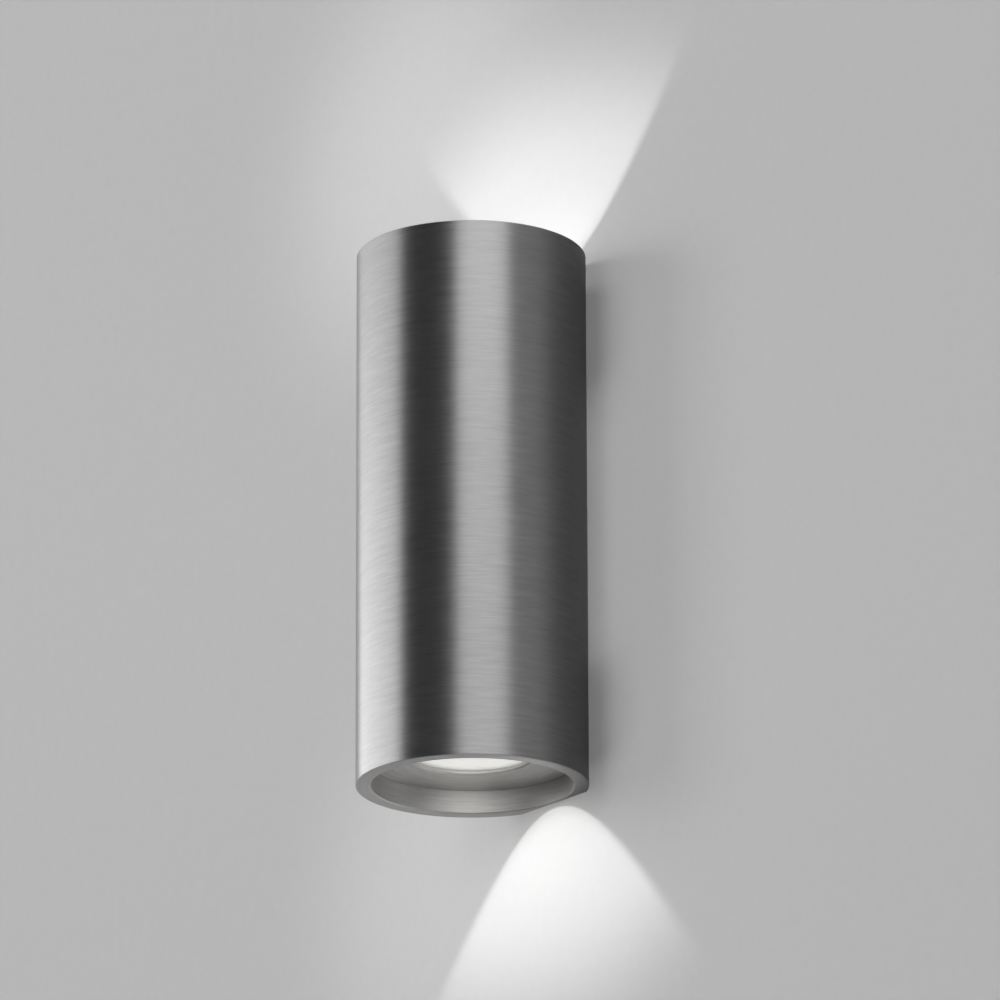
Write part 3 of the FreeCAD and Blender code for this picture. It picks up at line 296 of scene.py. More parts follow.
def to_end(points, sign, turn=0.0):
    """Points of an end's own frame (origin on the end face, +Z out of the mouth) put in place."""
    x = points[..., 0] * math.cos(turn) - points[..., 1] * math.sin(turn)
    y = points[..., 0] * math.sin(turn) + points[..., 1] * math.cos(turn)
    return np.stack([sign * x, AXIS_Y + y, sign * (HALF_HEIGHT + points[..., 2])], axis=-1)


def new_object(name, data):
    """An object in the scene."""
    thing = bpy.data.objects.new(name, data)
    bpy.context.scene.collection.objects.link(thing)
    return thing


def make_piece(name, surface, materials, pick=None, sharp=25.0):
    """A mesh object of a surface of quads, smooth except at edges sharper than an angle.

    Quads with two corners on one point become triangles. pick gives the material number of each
    face from the middle points and normals of the faces.
    """
    points, quads = surface
    double = quads == np.roll(quads, -1, axis=1)
    doubles = double.sum(axis=1)
    faces = quads[doubles == 0]
    threes = quads[doubles == 1][~double[doubles == 1]].reshape(-1, 3)
    mesh = bpy.data.meshes.new(name)
    mesh.vertices.add(len(points))
    mesh.vertices.foreach_set("co", points.astype(np.float32).ravel())
    sizes = np.concatenate([np.full(len(faces), 4), np.full(len(threes), 3)])
    mesh.loops.add(int(sizes.sum()))
    mesh.loops.foreach_set("vertex_index", np.concatenate([faces.ravel(), threes.ravel()]))
    mesh.polygons.add(len(sizes))
    mesh.polygons.foreach_set("loop_start", np.concatenate([[0], np.cumsum(sizes)[:-1]]))
    for material in materials:
        mesh.materials.append(material)
    mesh.update(calc_edges=True)
    if pick is not None:
        middles, normals = np.empty((2, len(sizes) * 3), np.float32)
        mesh.polygons.foreach_get("center", middles)
        mesh.polygons.foreach_get("normal", normals)
        choice = pick(middles.reshape(-1, 3), normals.reshape(-1, 3))
        mesh.polygons.foreach_set("material_index", choice.astype(np.int32))
    mesh.polygons.foreach_set("use_smooth", np.ones(len(sizes), bool))
    mesh.set_sharp_from_angle(angle=math.radians(sharp))
    if mesh.validate():
        raise RuntimeError(name + " has a face that isn't sound")
    return new_object(name, mesh)


# ---------------- the tube
def tube_surface(size):
    """The tube's whole skin.

    The outer skin is its outline carried up the tube, with a block of cells left out at the window
    and at each hole, where a patch runs from the block's edge to the hole. The bore is a circle
    carried up the tube with the window left out. Bevels, end faces and the walls of the window
    and holes join them.
    """
    half_window, window_top = size.window_width / 2, size.window_height / 2
    screw_z = HALF_HEIGHT - size.back_screw_depth
    lock_y = FLAT_DEPTH - size.lock_inset
    corner_y = FLAT_DEPTH - size.corner
    corner_x = math.sqrt((TUBE_RADIUS - size.corner) ** 2 - corner_y ** 2)

    # angles from the flat's middle: flat, corner, lock hole block, round
    near, far = size.back_screw_place - size.patch, size.back_screw_place + size.patch
    flat_knots = [math.atan2(x, FLAT_DEPTH) for x in (near, half_window, far, corner_x)]
    round_start = math.atan2(corner_x, corner_y)
    lock_knots = [math.acos((lock_y + reach) / TUBE_RADIUS) for reach in (size.patch, -size.patch)]
    half = spaced([0.0] + flat_knots, math.radians(1.0))[:-1]
    corner = np.linspace(flat_knots[-1], round_start, 7)[:-1]
    side = spaced([round_start] + lock_knots + [math.pi], math.radians(1.0))
    half = np.concatenate([half, corner, side])
    swing = np.concatenate([-half[:0:-1], half])

    # heights: lock hole block, window end, back screw block, end
    coarse, fine = 0.006, 0.001
    lock_knots_z = [size.lock_place - size.patch, size.lock_place + size.patch]
    screw_knots_z = [screw_z - size.patch, screw_z + size.patch]
    up = np.concatenate([
        spaced([0.0, lock_knots_z[0]], coarse)[:-1],
        spaced(lock_knots_z, fine)[:-1],
        spaced([lock_knots_z[1], window_top, screw_knots_z[0]], coarse)[:-1],
        spaced(screw_knots_z, fine)[:-1],
        spaced([screw_knots_z[1], HALF_HEIGHT - size.rim_bevel], coarse)])
    height = np.concatenate([-up[:0:-1], up])

    def line(values, value):
        return int(np.argmin(np.abs(values - value)))

    def section(inset):
        return outer_section(swing, TUBE_RADIUS, FLAT_DEPTH, size.corner, inset)

    window = (line(height, -window_top), line(height, window_top),
              line(swing, -flat_knots[1]), line(swing, flat_knots[1]))
    screw_blocks, lock_blocks = [], []
    for z_sign in (1, -1):
        for x_sign in (1, -1):
            rows = sorted(line(height, z_sign * z) for z in screw_knots_z)
            columns = sorted(line(swing, x_sign * knot) for knot in (flat_knots[0], flat_knots[2]))
            screw_blocks.append((*rows, *columns, x_sign * size.back_screw_place, z_sign * screw_z))
        rows = sorted(line(height, z_sign * z) for z in lock_knots_z)
        columns = sorted(line(swing, -knot) for knot in lock_knots)
        lock_blocks.append((*rows, *columns, z_sign * size.lock_place))

    skin = wall_points(swing, section(0.0), height[:, None])
    left_out = [window] + [block[:4] for block in screw_blocks + lock_blocks]
    sheets = [sheet_of(skin, outward=False, left_out=left_out)]

    # countersinks: plane coordinates are x and z, and the level is the depth in the flat
    sunk = size.countersink - size.screw_hole
    floor = sunk + 0.001
    for *block, x, z in screw_blocks:
        edge, middle = round_block(skin, block)[:, [0, 2]], np.array([x, z])
        plan = ring_patch(edge, middle, size.countersink)
        rings = ((size.screw_hole, sunk), (size.screw_hole, floor), (0.0, floor))
        plan, depth = with_floor(plan, np.zeros(plan.shape[:2]), edge, middle, rings)
        y = AXIS_Y + FLAT_DEPTH - depth
        sheets.append(sheet_of(np.stack([plan[..., 0], y, plan[..., 1]], axis=-1)))

    # set screw holes run along X: plane coordinates are y and z, and x follows the round
    for *block, z in lock_blocks:
        edge, middle = round_block(skin, block)[:, [1, 2]], np.array([AXIS_Y + lock_y, z])
        plan = ring_patch(edge, middle, size.lock_hole)
        x = -np.sqrt(TUBE_RADIUS ** 2 - (plan[..., 0] - AXIS_Y) ** 2)
        rings = ((size.lock_hole, -size.lock_floor), (0.0, -size.lock_floor))
        plan, x = with_floor(plan, x, edge, middle, rings)
        sheets.append(sheet_of(np.stack([x, plan[..., 0], plan[..., 1]], axis=-1)))

    # bore: its window edges stand nearer the middle than the flat's do
    bore_knots = [math.asin(half_window / size.bore_radius), math.pi]
    bore_swing = np.interp(np.abs(swing), [0.0, flat_knots[1], math.pi], [0.0] + bore_knots)
    bore_swing *= np.sign(swing)
    bore_height = height.copy()
    bore_height[[0, -1]] = [size.mouth_bevel - HALF_HEIGHT, HALF_HEIGHT - size.mouth_bevel]
    bore = wall_points(bore_swing, size.bore_radius, bore_height[:, None])
    sheets.append(sheet_of(bore, left_out=[window]))

    # ends: outer bevel, end face, inner bevel
    for end, sign in ((-1, 1), (0, -1)):
        rim = wall_points(swing, section(size.rim_bevel), sign * HALF_HEIGHT)
        mouth = wall_points(bore_swing, size.bore_radius + size.mouth_bevel, sign * HALF_HEIGHT)
        rings = [skin[end], rim] + [rim + (mouth - rim) * share for share in (0.33, 0.67)]
        sheets.append(sheet_of(np.stack(rings + [mouth, bore[end]]), outward=sign < 0))

    # walls of the window, between the flat and the bore
    low, high, first, last = window
    for column, outward in ((first, True), (last, False)):
        pair = np.stack([skin[low:high + 1, column], bore[low:high + 1, column]])
        sheets.append(sheet_of(pair, outward=outward))
    for row, outward in ((low, False), (high, True)):
        pair = np.stack([skin[row, first:last + 1], bore[row, first:last + 1]])
        sheets.append(sheet_of(pair, outward=outward))
    return join(sheets)


class TUBELIGHT_OT_tube(bpy.types.Operator):
    """Makes the brushed tube in place of its CAD solid"""

    bl_idname = "tube_light.tube"
    bl_label = "Tube"

    def execute(self, context):
        settings = context.scene.tube_light
        finishes = settings.finishes
        # tube_bore's colour is partly painted light: lighter than the outside metal to brighten the
        # mouth
        materials = [brushed_metal("tube_brushed", finishes.tube, 0.40, 0.8),
                     brushed_metal("tube_rim", finishes.rim, 0.42, 0.6, across_radius=True),
                     brushed_metal("tube_bore", finishes.bore, 0.50, 0.7)]

        def finish_of(middles, normals):
            rim = (np.abs(normals[:, 2]) > 0.5) & (np.abs(middles[:, 2]) > HALF_HEIGHT * 0.99)
            reach = np.hypot(middles[:, 0], middles[:, 1] - AXIS_Y)
            bore = (reach < settings.tube.bore_radius + 0.00001) & ~rim
            return rim * 1 + bore * 2

        piece = make_piece("tube", tube_surface(settings.tube), materials, finish_of)
        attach(piece, "lamp")
        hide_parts("tube_body")
        return {"FINISHED"}


# ---------------- the ring and glass of each end
def bezel_surface(size, sign):
    """A ring: its section carried round the axis, with a patch and a blind hole at each key hole.

    The dished face is a cone, so the patch is worked out in plan and each point's height follows
    from its radius.
    """
    lip_depth = size.depth + size.dish
    slope = math.atan2(size.dish, size.radius - size.light_radius)

    def face_height(radius):
        return -(size.depth + (size.radius - radius) * math.tan(slope))

    # the lip's edge is an arc that touches the face and the opening
    swing = np.linspace(math.pi / 2 + slope, math.pi, 9)
    arc_radius = size.light_radius + size.lip_round
    arc_height = face_height(arc_radius) - size.lip_round / math.cos(slope)
    arc = np.stack([arc_radius + size.lip_round * np.cos(swing),
                    arc_height + size.lip_round * np.sin(swing)], axis=1)

    place = (size.light_radius + size.radius) / 2
    block_half = 2 * size.key_radius
    knots = [size.radius - size.edge, place + block_half, place - block_half, arc[0, 0]]
    face = spaced(knots, 0.0006)[:-1]
    section = np.concatenate([
        [(size.radius, -(size.depth + size.land)), (size.radius, -(size.depth + 2 * size.edge))],
        np.stack([face, face_height(face)], axis=1),
        arc,
        [(size.light_radius, -(lip_depth + size.lip)),
         (size.seat_radius, -(lip_depth + size.lip)),
         (size.seat_radius, -(size.depth + size.land)),
         (size.radius, -(size.depth + size.land))],
    ])
    block_swing = math.asin(block_half / place)
    knots = [-block_swing, block_swing, math.pi - block_swing, math.pi + block_swing,
             2 * math.pi - block_swing]
    angles = spaced(knots, math.radians(1.2))
    grid = turned(section, angles)
    rows = [int(np.argmin(np.abs(section[:, 0] - r)
                          + (np.abs(section[:, 1] - face_height(r)) > 1e-6)))
            for r in (place + block_half, place - block_half)]
    blocks = []
    for side, (start, end) in ((1, knots[:2]), (-1, knots[2:4])):
        columns = [int(np.argmin(np.abs(angles - value))) for value in (start, end)]
        blocks.append((*rows, *columns, side * place))
    sheets = [sheet_of(grid, left_out=[block[:4] for block in blocks])]
    for *block, x in blocks:
        edge = round_block(grid, block)[:, :2]
        middle = np.array([x, 0.0])
        plan = ring_patch(edge, middle, size.key_radius)
        rings = ((size.key_radius, -size.key_floor), (0.0, -size.key_floor))
        plan, height = with_floor(plan, face_height(np.linalg.norm(plan, axis=2)), edge, middle,
                                  rings)
        sheets.append(sheet_of(np.concatenate([plan, height[..., None]], axis=2), outward=False))
    points, quads = join(sheets)
    return to_end(points, sign, size.key_turn), quads


class TUBELIGHT_OT_bezels(bpy.types.Operator):
    """Makes the dished ring in each mouth in place of its CAD solid"""

    bl_idname = "tube_light.bezels"
    bl_label = "Bezels"

    def execute(self, context):
        settings = context.scene.tube_light
        # the ring's colour is partly painted light: set light to brighten the mouth
        material = brushed_metal("bezel_turned", settings.finishes.bezel, 0.44, 0.4,
                                 across_radius=True)
        for end, sign in ENDS:
            surface = bezel_surface(settings.bezel, sign)
            piece = make_piece("bezel_ring_" + end, surface, [material])
            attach(piece, "bezel_%s_body" % end)
            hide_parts("bezel_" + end)
        return {"FINISHED"}


def lens_surface(size, sign):
    """A disc: its bevelled section carried round the axis, with both middles closed."""
    back = size.depth + size.thickness
    rim = size.radius - size.bevel
    inner = spaced([0.0, rim], 0.003)
    section = np.concatenate([
        np.stack([inner, 0 * inner - size.depth], axis=1),
        [(size.radius, -(size.depth + size.bevel)), (size.radius, -(back - size.bevel))],
        np.stack([inner, 0 * inner - back], axis=1)[::-1],
    ])
    grid = turned(section, np.linspace(0, 2 * math.pi, 193))
    points, quads = join([sheet_of(grid, outward=False)])
    return to_end(points, sign), quads


class TUBELIGHT_OT_lenses(bpy.types.Operator):
    """Makes the lit frosted disc of each end in place of its CAD solid"""

    bl_idname = "tube_light.lenses"
    bl_label = "Lenses"

    def execute(self, context):
        settings = context.scene.tube_light
        material = frosted_glass("lens_frosted", settings)
        for end, sign in ENDS:
            piece = make_piece("lens_disc_" + end, lens_surface(settings.lens, sign), [material])
            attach(piece, "lamp")
            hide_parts("lens_" + end)
        return {"FINISHED"}


# ---------------- shader helpers
def plug(tree, socket, value):
    """Gives a socket a value, or links another socket to it."""
    if isinstance(value, bpy.types.NodeSocket):
        tree.links.new(value, socket)
    else:
        socket.default_value = value


def add(tree, kind, **settings):
    """A node of a tree, with its settings and, by name in inputs, its values or links."""
    node = tree.nodes.new(kind)
    inputs = settings.pop("inputs", {})
    for name, value in settings.items():
        setattr(node, name, value)
    for name, value in inputs.items():
        plug(tree, node.inputs[name], value)
    return node


def maths(tree, operation, first, second=0.0):
    """The result of a Math node."""
    return add(tree, "ShaderNodeMath", operation=operation, inputs={0: first, 1: second}).outputs[0]


def times(tree, first, second):
    """The product of two values."""
    return maths(tree, "MULTIPLY", first, second)


def stretch(tree, value, low, high, new_low=0.0, new_high=1.0, kind="LINEAR"):
    """A value carried from one range to another."""
    ranges = {"Value": value, "From Min": low, "From Max": high, "To Min": new_low,
              "To Max": new_high}
    node = add(tree, "ShaderNodeMapRange", interpolation_type=kind, inputs=ranges)
    return node.outputs["Result"]


def blend_colours(tree, share, first, second):
    """A colour between two others."""
    node = add(tree, "ShaderNodeMix", data_type="RGBA", inputs={0: share, 6: first, 7: second})
    return node.outputs[2]


def noise(tree, vector, scale, detail, roughness=0.5):
    """The value of a Noise texture."""
    node = add(tree, "ShaderNodeTexNoise", inputs={"Vector": vector, "Scale": scale,
                                                   "Detail": detail, "Roughness": roughness})
    return node.outputs[0]


def split(tree, vector):
    """The X, Y and Z of a vector."""
    return add(tree, "ShaderNodeSeparateXYZ", inputs={"Vector": vector}).outputs


def axis_distance(tree, parts):
    """How far a place is from the tube's axis."""
    squares = [times(tree, parts[axis], parts[axis]) for axis in "XY"]
    return maths(tree, "SQRT", maths(tree, "ADD", *squares))


def bump(tree, skin, height, strength, distance):
    """Raises the surface of a shader by a height."""
    node = add(tree, "ShaderNodeBump", inputs={"Strength": strength, "Distance": distance,
                                               "Height": height})
    plug(tree, skin["Normal"], node.outputs[0])


def lay_out(tree):
    """Places each node in a column left of the nodes that it feeds."""
    column = {node.name: 0 for node in tree.nodes}
    for _ in range(len(column)):
        for link in tree.links:
            source, target = link.from_node.name, link.to_node.name
            column[source] = max(column[source], column[target] + 1)
    filled = {}
    for node in tree.nodes:
        place = column[node.name]
        filled[place] = filled.get(place, 0) + 1
        node.location = (-240 * place, -280 * filled[place])


def new_group(name, numbers, values):
    """A shader group that takes a vector and named numbers, and gives out named values."""
    tree = bpy.data.node_groups.new(name, "ShaderNodeTree")
    tree.interface.new_socket("Vector", in_out="INPUT", socket_type="NodeSocketVector")
    for label, number in numbers.items():
        socket = tree.interface.new_socket(label, in_out="INPUT", socket_type="NodeSocketFloat")
        socket.default_value = number
    for label in values:
        tree.interface.new_socket(label, in_out="OUTPUT", socket_type="NodeSocketFloat")
    given, made = tree.nodes.new("NodeGroupInput"), tree.nodes.new("NodeGroupOutput")
    return tree, given.outputs, made.inputs


def hairlines():
    """Hairlines of a brushed or turned metal.

    Noise is read far more finely across the strokes than along them. The Z of the Vector runs
    across the strokes, and a slow second noise bends them a little.
    """
    tree, given, made = new_group(
        "hairlines", {"Across": 3000.0, "Along": 60.0, "Waviness": 0.00006},
        ("Height", "Scratches"))
    bend = times(tree, noise(tree, given["Vector"], 90.0, 1.0), given["Waviness"])
    parts = split(tree, given["Vector"])
    across = times(tree, maths(tree, "ADD", parts["Z"], bend), given["Across"])
    layers = []
    for fine, share in ((1.0, 1.0), (0.31, 1.7), (2.3, 0.6)):
        place = {"Z": times(tree, across, fine)}
        for axis in "XY":
            along = times(tree, parts[axis], given["Along"])
            place[axis] = times(tree, along, share)
        joined = add(tree, "ShaderNodeCombineXYZ", inputs=place)
        layers.append(noise(tree, joined.outputs[0], 1.0, 2.0, 0.6))
    mean = times(tree, maths(tree, "ADD", layers[0], layers[1]), 0.5)
    plug(tree, made["Height"], mean)
    plug(tree, made["Scratches"], stretch(tree, layers[2], 0.60, 0.74))
    lay_out(tree)
    return tree


def soft_marks():
    """Soft marks of handling: two sizes of slow noise in one mask."""
    tree, given, made = new_group("soft_marks", {"Scale": 40.0}, ("Mask",))
    wide = noise(tree, given["Vector"], given["Scale"], 3.0)
    finer = times(tree, given["Scale"], 5.3)
    both = times(tree, wide, noise(tree, given["Vector"], finer, 4.0, 0.65))
    plug(tree, made["Mask"], stretch(tree, both, 0.12, 0.42))
    lay_out(tree)
    return tree


def fine_grain():
    """Fine even grain of a moulded, cast or coated surface, and sparse specks in it."""
    tree, given, made = new_group("fine_grain", {"Scale": 2500.0}, ("Height", "Specks"))
    plug(tree, made["Height"], noise(tree, given["Vector"], given["Scale"], 3.0, 0.55))
    coarse = times(tree, given["Scale"], 0.35)
    cells = add(tree, "ShaderNodeTexVoronoi", inputs={"Vector": given["Vector"], "Scale": coarse})
    plug(tree, made["Specks"], stretch(tree, cells.outputs["Distance"], 0.06, 0.16, 1.0, 0.0))
    lay_out(tree)
    return tree


def zinc_spangle():
    """Crystals of a zinc coat: each cell of a pattern has a shade of its own."""
    tree, given, made = new_group("zinc_spangle", {"Scale": 260.0}, ("Shade",))
    cells = add(tree, "ShaderNodeTexVoronoi",
                inputs={"Vector": given["Vector"], "Scale": given["Scale"], "Randomness": 1.0})
    shade = add(tree, "ShaderNodeSeparateColor", inputs={0: cells.outputs["Color"]})
    plug(tree, made["Shade"], shade.outputs[0])
    lay_out(tree)
    return tree


def use_group(tree, maker, **inputs):
    """The outputs of a group, which is made under its maker's name when first asked for."""
    node = tree.nodes.new("ShaderNodeGroup")
    node.node_tree = bpy.data.node_groups.get(maker.__name__) or maker()
    for label, value in inputs.items():
        plug(tree, node.inputs[label], value)
    return node.outputs


def new_material(name):
    """A material, its tree, its shader's inputs and the piece's own place from the axis."""
    material = bpy.data.materials.new(name)
    material.use_nodes = True
    tree = material.node_tree
    where = add(tree, "ShaderNodeTexCoord").outputs["Object"]
    centred = add(tree, "ShaderNodeMapping",
                  inputs={"Vector": where, "Location": (0.0, -AXIS_Y, 0.0)})
    return material, tree, tree.nodes["Principled BSDF"].inputs, centred.outputs[0]


def full(rgb, shade=1.0):
    """A colour with its alpha, darkened or lightened."""
    return tuple(min(1.0, part * shade) for part in rgb) + (1.0,)


# ---------------- finishes
def brushed_metal(name, rgb, roughness, streak, across_radius=False):
    """Metal with hairlines round the tube's axis, spaced along it or across a turned face."""
    material, tree, skin, where = new_material(name)
    strokes = where
    if across_radius:
        parts = split(tree, where)
        across = maths(tree, "ADD", axis_distance(tree, parts), parts["Z"])
        strokes = add(tree, "ShaderNodeCombineXYZ",
                      inputs={"X": parts["X"], "Y": parts["Y"], "Z": across}).outputs[0]
    lines = use_group(tree, hairlines, Vector=strokes, Across=2600.0, Along=55.0)
    marks = use_group(tree, soft_marks, Vector=where, Scale=38.0)
    share = stretch(tree, lines["Height"], 0.36, 0.64)
    base = blend_colours(tree, share, full(rgb, 0.90), full(rgb, 1.10))
    scratches = times(tree, lines["Scratches"], 0.30)
    plug(tree, skin["Base Color"], blend_colours(tree, scratches, base, full(rgb, 0.62)))
    rough = stretch(tree, lines["Height"], 0.36, 0.64, roughness - 0.02, roughness + 0.02)
    smear = times(tree, marks["Mask"], 0.025)
    plug(tree, skin["Roughness"], maths(tree, "ADD", rough, smear))
    skin["Metallic"].default_value = 1.0
    skin["Anisotropic"].default_value = streak
    skin["Anisotropic Rotation"].default_value = 0.25
    tangent = add(tree, "ShaderNodeTangent", direction_type="RADIAL", axis="Z")
    plug(tree, skin["Tangent"], tangent.outputs[0])
    bump(tree, skin, lines["Height"], 0.25, 0.00002)
    lay_out(tree)
    return material


def frosted_glass(name, settings):
    """Opal glass that glows: dimmer near its edge, and less bright when seen from the side."""
    finishes, size = settings.finishes, settings.lens
    material, tree, skin, where = new_material(name)
    grain = use_group(tree, fine_grain, Vector=where, Scale=3200.0)
    radius = axis_distance(tree, split(tree, where))
    glow = stretch(tree, radius, 0.75 * size.radius, 0.93 * size.radius, 1.0, 0.30)
    mottled = stretch(tree, grain["Height"], 0.3, 0.7, 0.97, 1.03)
    weight = add(tree, "ShaderNodeLayerWeight", inputs={"Blend": 0.5})
    facing = stretch(tree, weight.outputs["Facing"], 0.0, 0.70, 1.0, 0.24)
    glow = times(tree, times(tree, glow, mottled), facing)
    shown = blend_colours(tree, glow, (0.0, 0.0, 0.0, 1.0), full(finishes.light))
    plug(tree, skin["Emission Color"], shown)
    skin["Emission Strength"].default_value = finishes.light_strength
    glass = blend_colours(tree, grain["Specks"], full(finishes.lens), full(finishes.lens, 0.92))
    plug(tree, skin["Base Color"], glass)
    plug(tree, skin["Roughness"], stretch(tree, grain["Height"], 0.3, 0.7, 0.42, 0.55))
    bump(tree, skin, grain["Height"], 0.2, 0.00003)
    lay_out(tree)
    return material


def inner_metal(name, rgb, roughness, lines, spangle=False):
    """Plain, plated or machined metal of an inner piece, with tool marks or zinc crystals."""
    material, tree, skin, where = new_material(name)
    strokes = use_group(tree, hairlines, Vector=where, Across=lines,
                        Along=lines / 30)
    marks = use_group(tree, soft_marks, Vector=where, Scale=90.0)
    shade = strokes["Height"]
    if spangle:
        zinc = use_group(tree, zinc_spangle, Vector=where)
        shade = times(tree, maths(tree, "ADD", shade, zinc["Shade"]), 0.5)
    share = stretch(tree, shade, 0.3, 0.7)
    base = blend_colours(tree, share, full(rgb, 0.86), full(rgb, 1.08))
    tarnish = times(tree, marks["Mask"], 0.25)
    plug(tree, skin["Base Color"], blend_colours(tree, tarnish, base, full(rgb, 0.6)))
    rough = stretch(tree, shade, 0.3, 0.7, roughness - 0.05, roughness + 0.08)
    plug(tree, skin["Roughness"], rough)
    skin["Metallic"].default_value = 1.0
    bump(tree, skin, strokes["Height"], 0.2, 0.00003)
    lay_out(tree)
    return material


def moulded(name, rgb, roughness, grain, glow=None):
    """Moulded plastic, rubber or ceramic: fine grain, specks and soft marks of handling."""
    material, tree, skin, where = new_material(name)
    grains = use_group(tree, fine_grain, Vector=where, Scale=grain)
    marks = use_group(tree, soft_marks, Vector=where, Scale=70.0)
    share = stretch(tree, grains["Height"], 0.3, 0.7)
    base = blend_colours(tree, share, full(rgb, 0.94), full(rgb, 1.05))
    dust = times(tree, marks["Mask"], 0.18)
    base = blend_colours(tree, dust, base, full(rgb, 0.75))
    speck = times(tree, grains["Specks"], 0.12)
    plug(tree, skin["Base Color"], blend_colours(tree, speck, base, full(rgb, 0.7)))
    rough = stretch(tree, marks["Mask"], 0.0, 1.0, roughness, roughness + 0.12)
    plug(tree, skin["Roughness"], rough)
    if glow is not None:
        skin["Emission Color"].default_value = full(rgb)
        skin["Emission Strength"].default_value = glow
    bump(tree, skin, grains["Height"], 0.3, 0.00004)
    lay_out(tree)
    return material


def inner_finishes():
    """The finish of each of the record's material slots that keeps its CAD solids."""
    # colour, roughness, and how finely the tool marks run
    metals = {
        "reflector_silver": ((0.86, 0.86, 0.86), 0.16, 900.0),
        "heat_sink_metal": ((0.62, 0.62, 0.62), 0.38, 1500.0),
        "screw_steel": ((0.66, 0.66, 0.67), 0.28, 2600.0),
        "lock_screw_steel": ((0.16, 0.16, 0.17), 0.42, 2200.0),
        "zinc_steel": ((0.60, 0.61, 0.62), 0.36, 700.0, True),
        "terminal_brass": ((0.78, 0.60, 0.30), 0.30, 1800.0),
    }
    # colour, roughness, how fine the grain is, and a glow
    mouldings = {
        "seal_silicone": ((0.78, 0.78, 0.76), 0.55, 2600.0),
        "board_ceramic": ((0.90, 0.90, 0.88), 0.45, 4200.0),
        "led_phosphor": ((0.95, 0.78, 0.25), 0.35, 5200.0, 1.0),
        "pad_grey": ((0.45, 0.45, 0.47), 0.80, 1800.0),
        "holder_plastic": ((0.88, 0.88, 0.86), 0.42, 3000.0),
        "grommet_rubber": ((0.035, 0.035, 0.035), 0.62, 2000.0),
        "driver_plastic": ((0.86, 0.86, 0.85), 0.48, 1600.0),
        "terminal_plastic": ((0.82, 0.82, 0.80), 0.40, 2600.0),
        "lead_brown": ((0.13, 0.05, 0.02), 0.45, 3400.0),
        "lead_blue": ((0.02, 0.09, 0.35), 0.45, 3400.0),
        "lead_green": ((0.12, 0.32, 0.04), 0.45, 3400.0),
        "lead_red": ((0.45, 0.02, 0.015), 0.45, 3400.0),
        "lead_black": ((0.025, 0.025, 0.025), 0.45, 3400.0),
    }
    finishes = {name: inner_metal(name, *values) for name, values in metals.items()}
    finishes.update((name, moulded(name, *values)) for name, values in mouldings.items())
    return finishes


class TUBELIGHT_OT_inner_finishes(bpy.types.Operator):
    """Gives each CAD solid that stays in view the finish of its material slot"""

    bl_idname = "tube_light.inner_finishes"
    bl_label = "Inner finishes"

    def execute(self, context):
        finishes = inner_finishes()
        slots = {part["node"]: part["material_slot"] for part in frame["record"]["subparts"]}
        for node, thing in frame["nodes"].items():
            if slots[node] in finishes:
                thing.data.materials.clear()
                thing.data.materials.append(finishes[slots[node]])
        return {"FINISHED"}


# ---------------- the studio
def stage_material(name, rgb, shaded=False):
    """Pale matt paint that the camera sees through from behind.

    Where it is shaded, the lamp mirrors it darker close to its right side. This is a painted shade
    in the lamp's reflection, not a shadow of any light: only glossy rays see the paint turned
    towards black there.
    """
    material = bpy.data.materials.new(name)
    material.use_nodes = True
    tree = material.node_tree
    shader, leave = tree.nodes["Principled BSDF"], tree.nodes["Material Output"]
    where = add(tree, "ShaderNodeTexCoord").outputs["Object"]
    shade = stretch(tree, noise(tree, where, 260.0, 4.0), 0.3, 0.7)
    paint = blend_colours(tree, shade, full(rgb, 0.99), full(rgb, 1.01))
    path = add(tree, "ShaderNodeLightPath").outputs
    if shaded:
        # painted shade: 3.5 to 10 cm right of the middle, the paint is darkened towards black for
        # glossy rays only, so the lamp mirrors a shade that no light casts
        x = split(tree, where)["X"]
        close = stretch(tree, x, 0.035, 0.10, 0.6, 0.0, "SMOOTHSTEP")
        close = times(tree, close, maths(tree, "GREATER_THAN", x, 0.0))
        close = times(tree, close, path["Is Glossy Ray"])
        paint = blend_colours(tree, close, paint, (0.0, 0.0, 0.0, 1.0))
    plug(tree, shader.inputs["Base Color"], paint)
    shader.inputs["Roughness"].default_value = 0.9
    shader.inputs["Specular IOR Level"].default_value = 0.1
    behind = add(tree, "ShaderNodeNewGeometry").outputs["Backfacing"]
    clear = add(tree, "ShaderNodeBsdfTransparent")
    hidden = times(tree, behind, path["Is Camera Ray"])
    both = add(tree, "ShaderNodeMixShader",
               inputs={0: hidden, 1: shader.outputs[0], 2: clear.outputs[0]})
    plug(tree, leave.inputs["Surface"], both.outputs[0])
    lay_out(tree)
    return material


def stage_piece(name, corners, faces, material):
    """A plain piece of the stage."""
    mesh = bpy.data.meshes.new(name)
    mesh.from_pydata(corners, [], faces)
    mesh.materials.append(material)
    thing = new_object(name, mesh)
    return thing


def add_light(name, kind, energy, receivers, blockers=None):
    """A light that the camera doesn't see and that reaches only the given objects."""
    data = bpy.data.lights.new(name, kind)
    data.energy = energy
    light = new_object(name, data)
    light.visible_camera = False
    light.light_linking.receiver_collection = collect(name + "_lit", receivers)
    if blockers:
        light.light_linking.blocker_collection = collect(name + "_shades", blockers)
    return light


def collect(name, things):
    """A collection that only gathers objects for a light."""
    gathered = bpy.data.collections.new(name)
    for thing in things:
        gathered.objects.link(thing)
    return gathered


def softbox(name, receivers, towards, rise, distance, wide, high, power=None, radiance=None,
            blockers=None):
    """An upright area light at a direction round the Z axis (0 is +X), which faces that axis.

    An even area light that gives off a radiance L from an area A has the power pi * A * L.
    """
    power = power or math.pi * wide * high * radiance
    light = add_light(name, "AREA", power, receivers, blockers)
    light.data.shape = "RECTANGLE"
    light.data.size, light.data.size_y = wide, high
    swing = math.radians(towards)
    away = Vector((distance * math.cos(swing), distance * math.sin(swing), 0.0))
    light.location = away + Vector((0.0, 0.0, rise))
    aim = light.location if rise > distance else away
    light.rotation_euler = aim.to_track_quat("Z", "Y").to_euler()


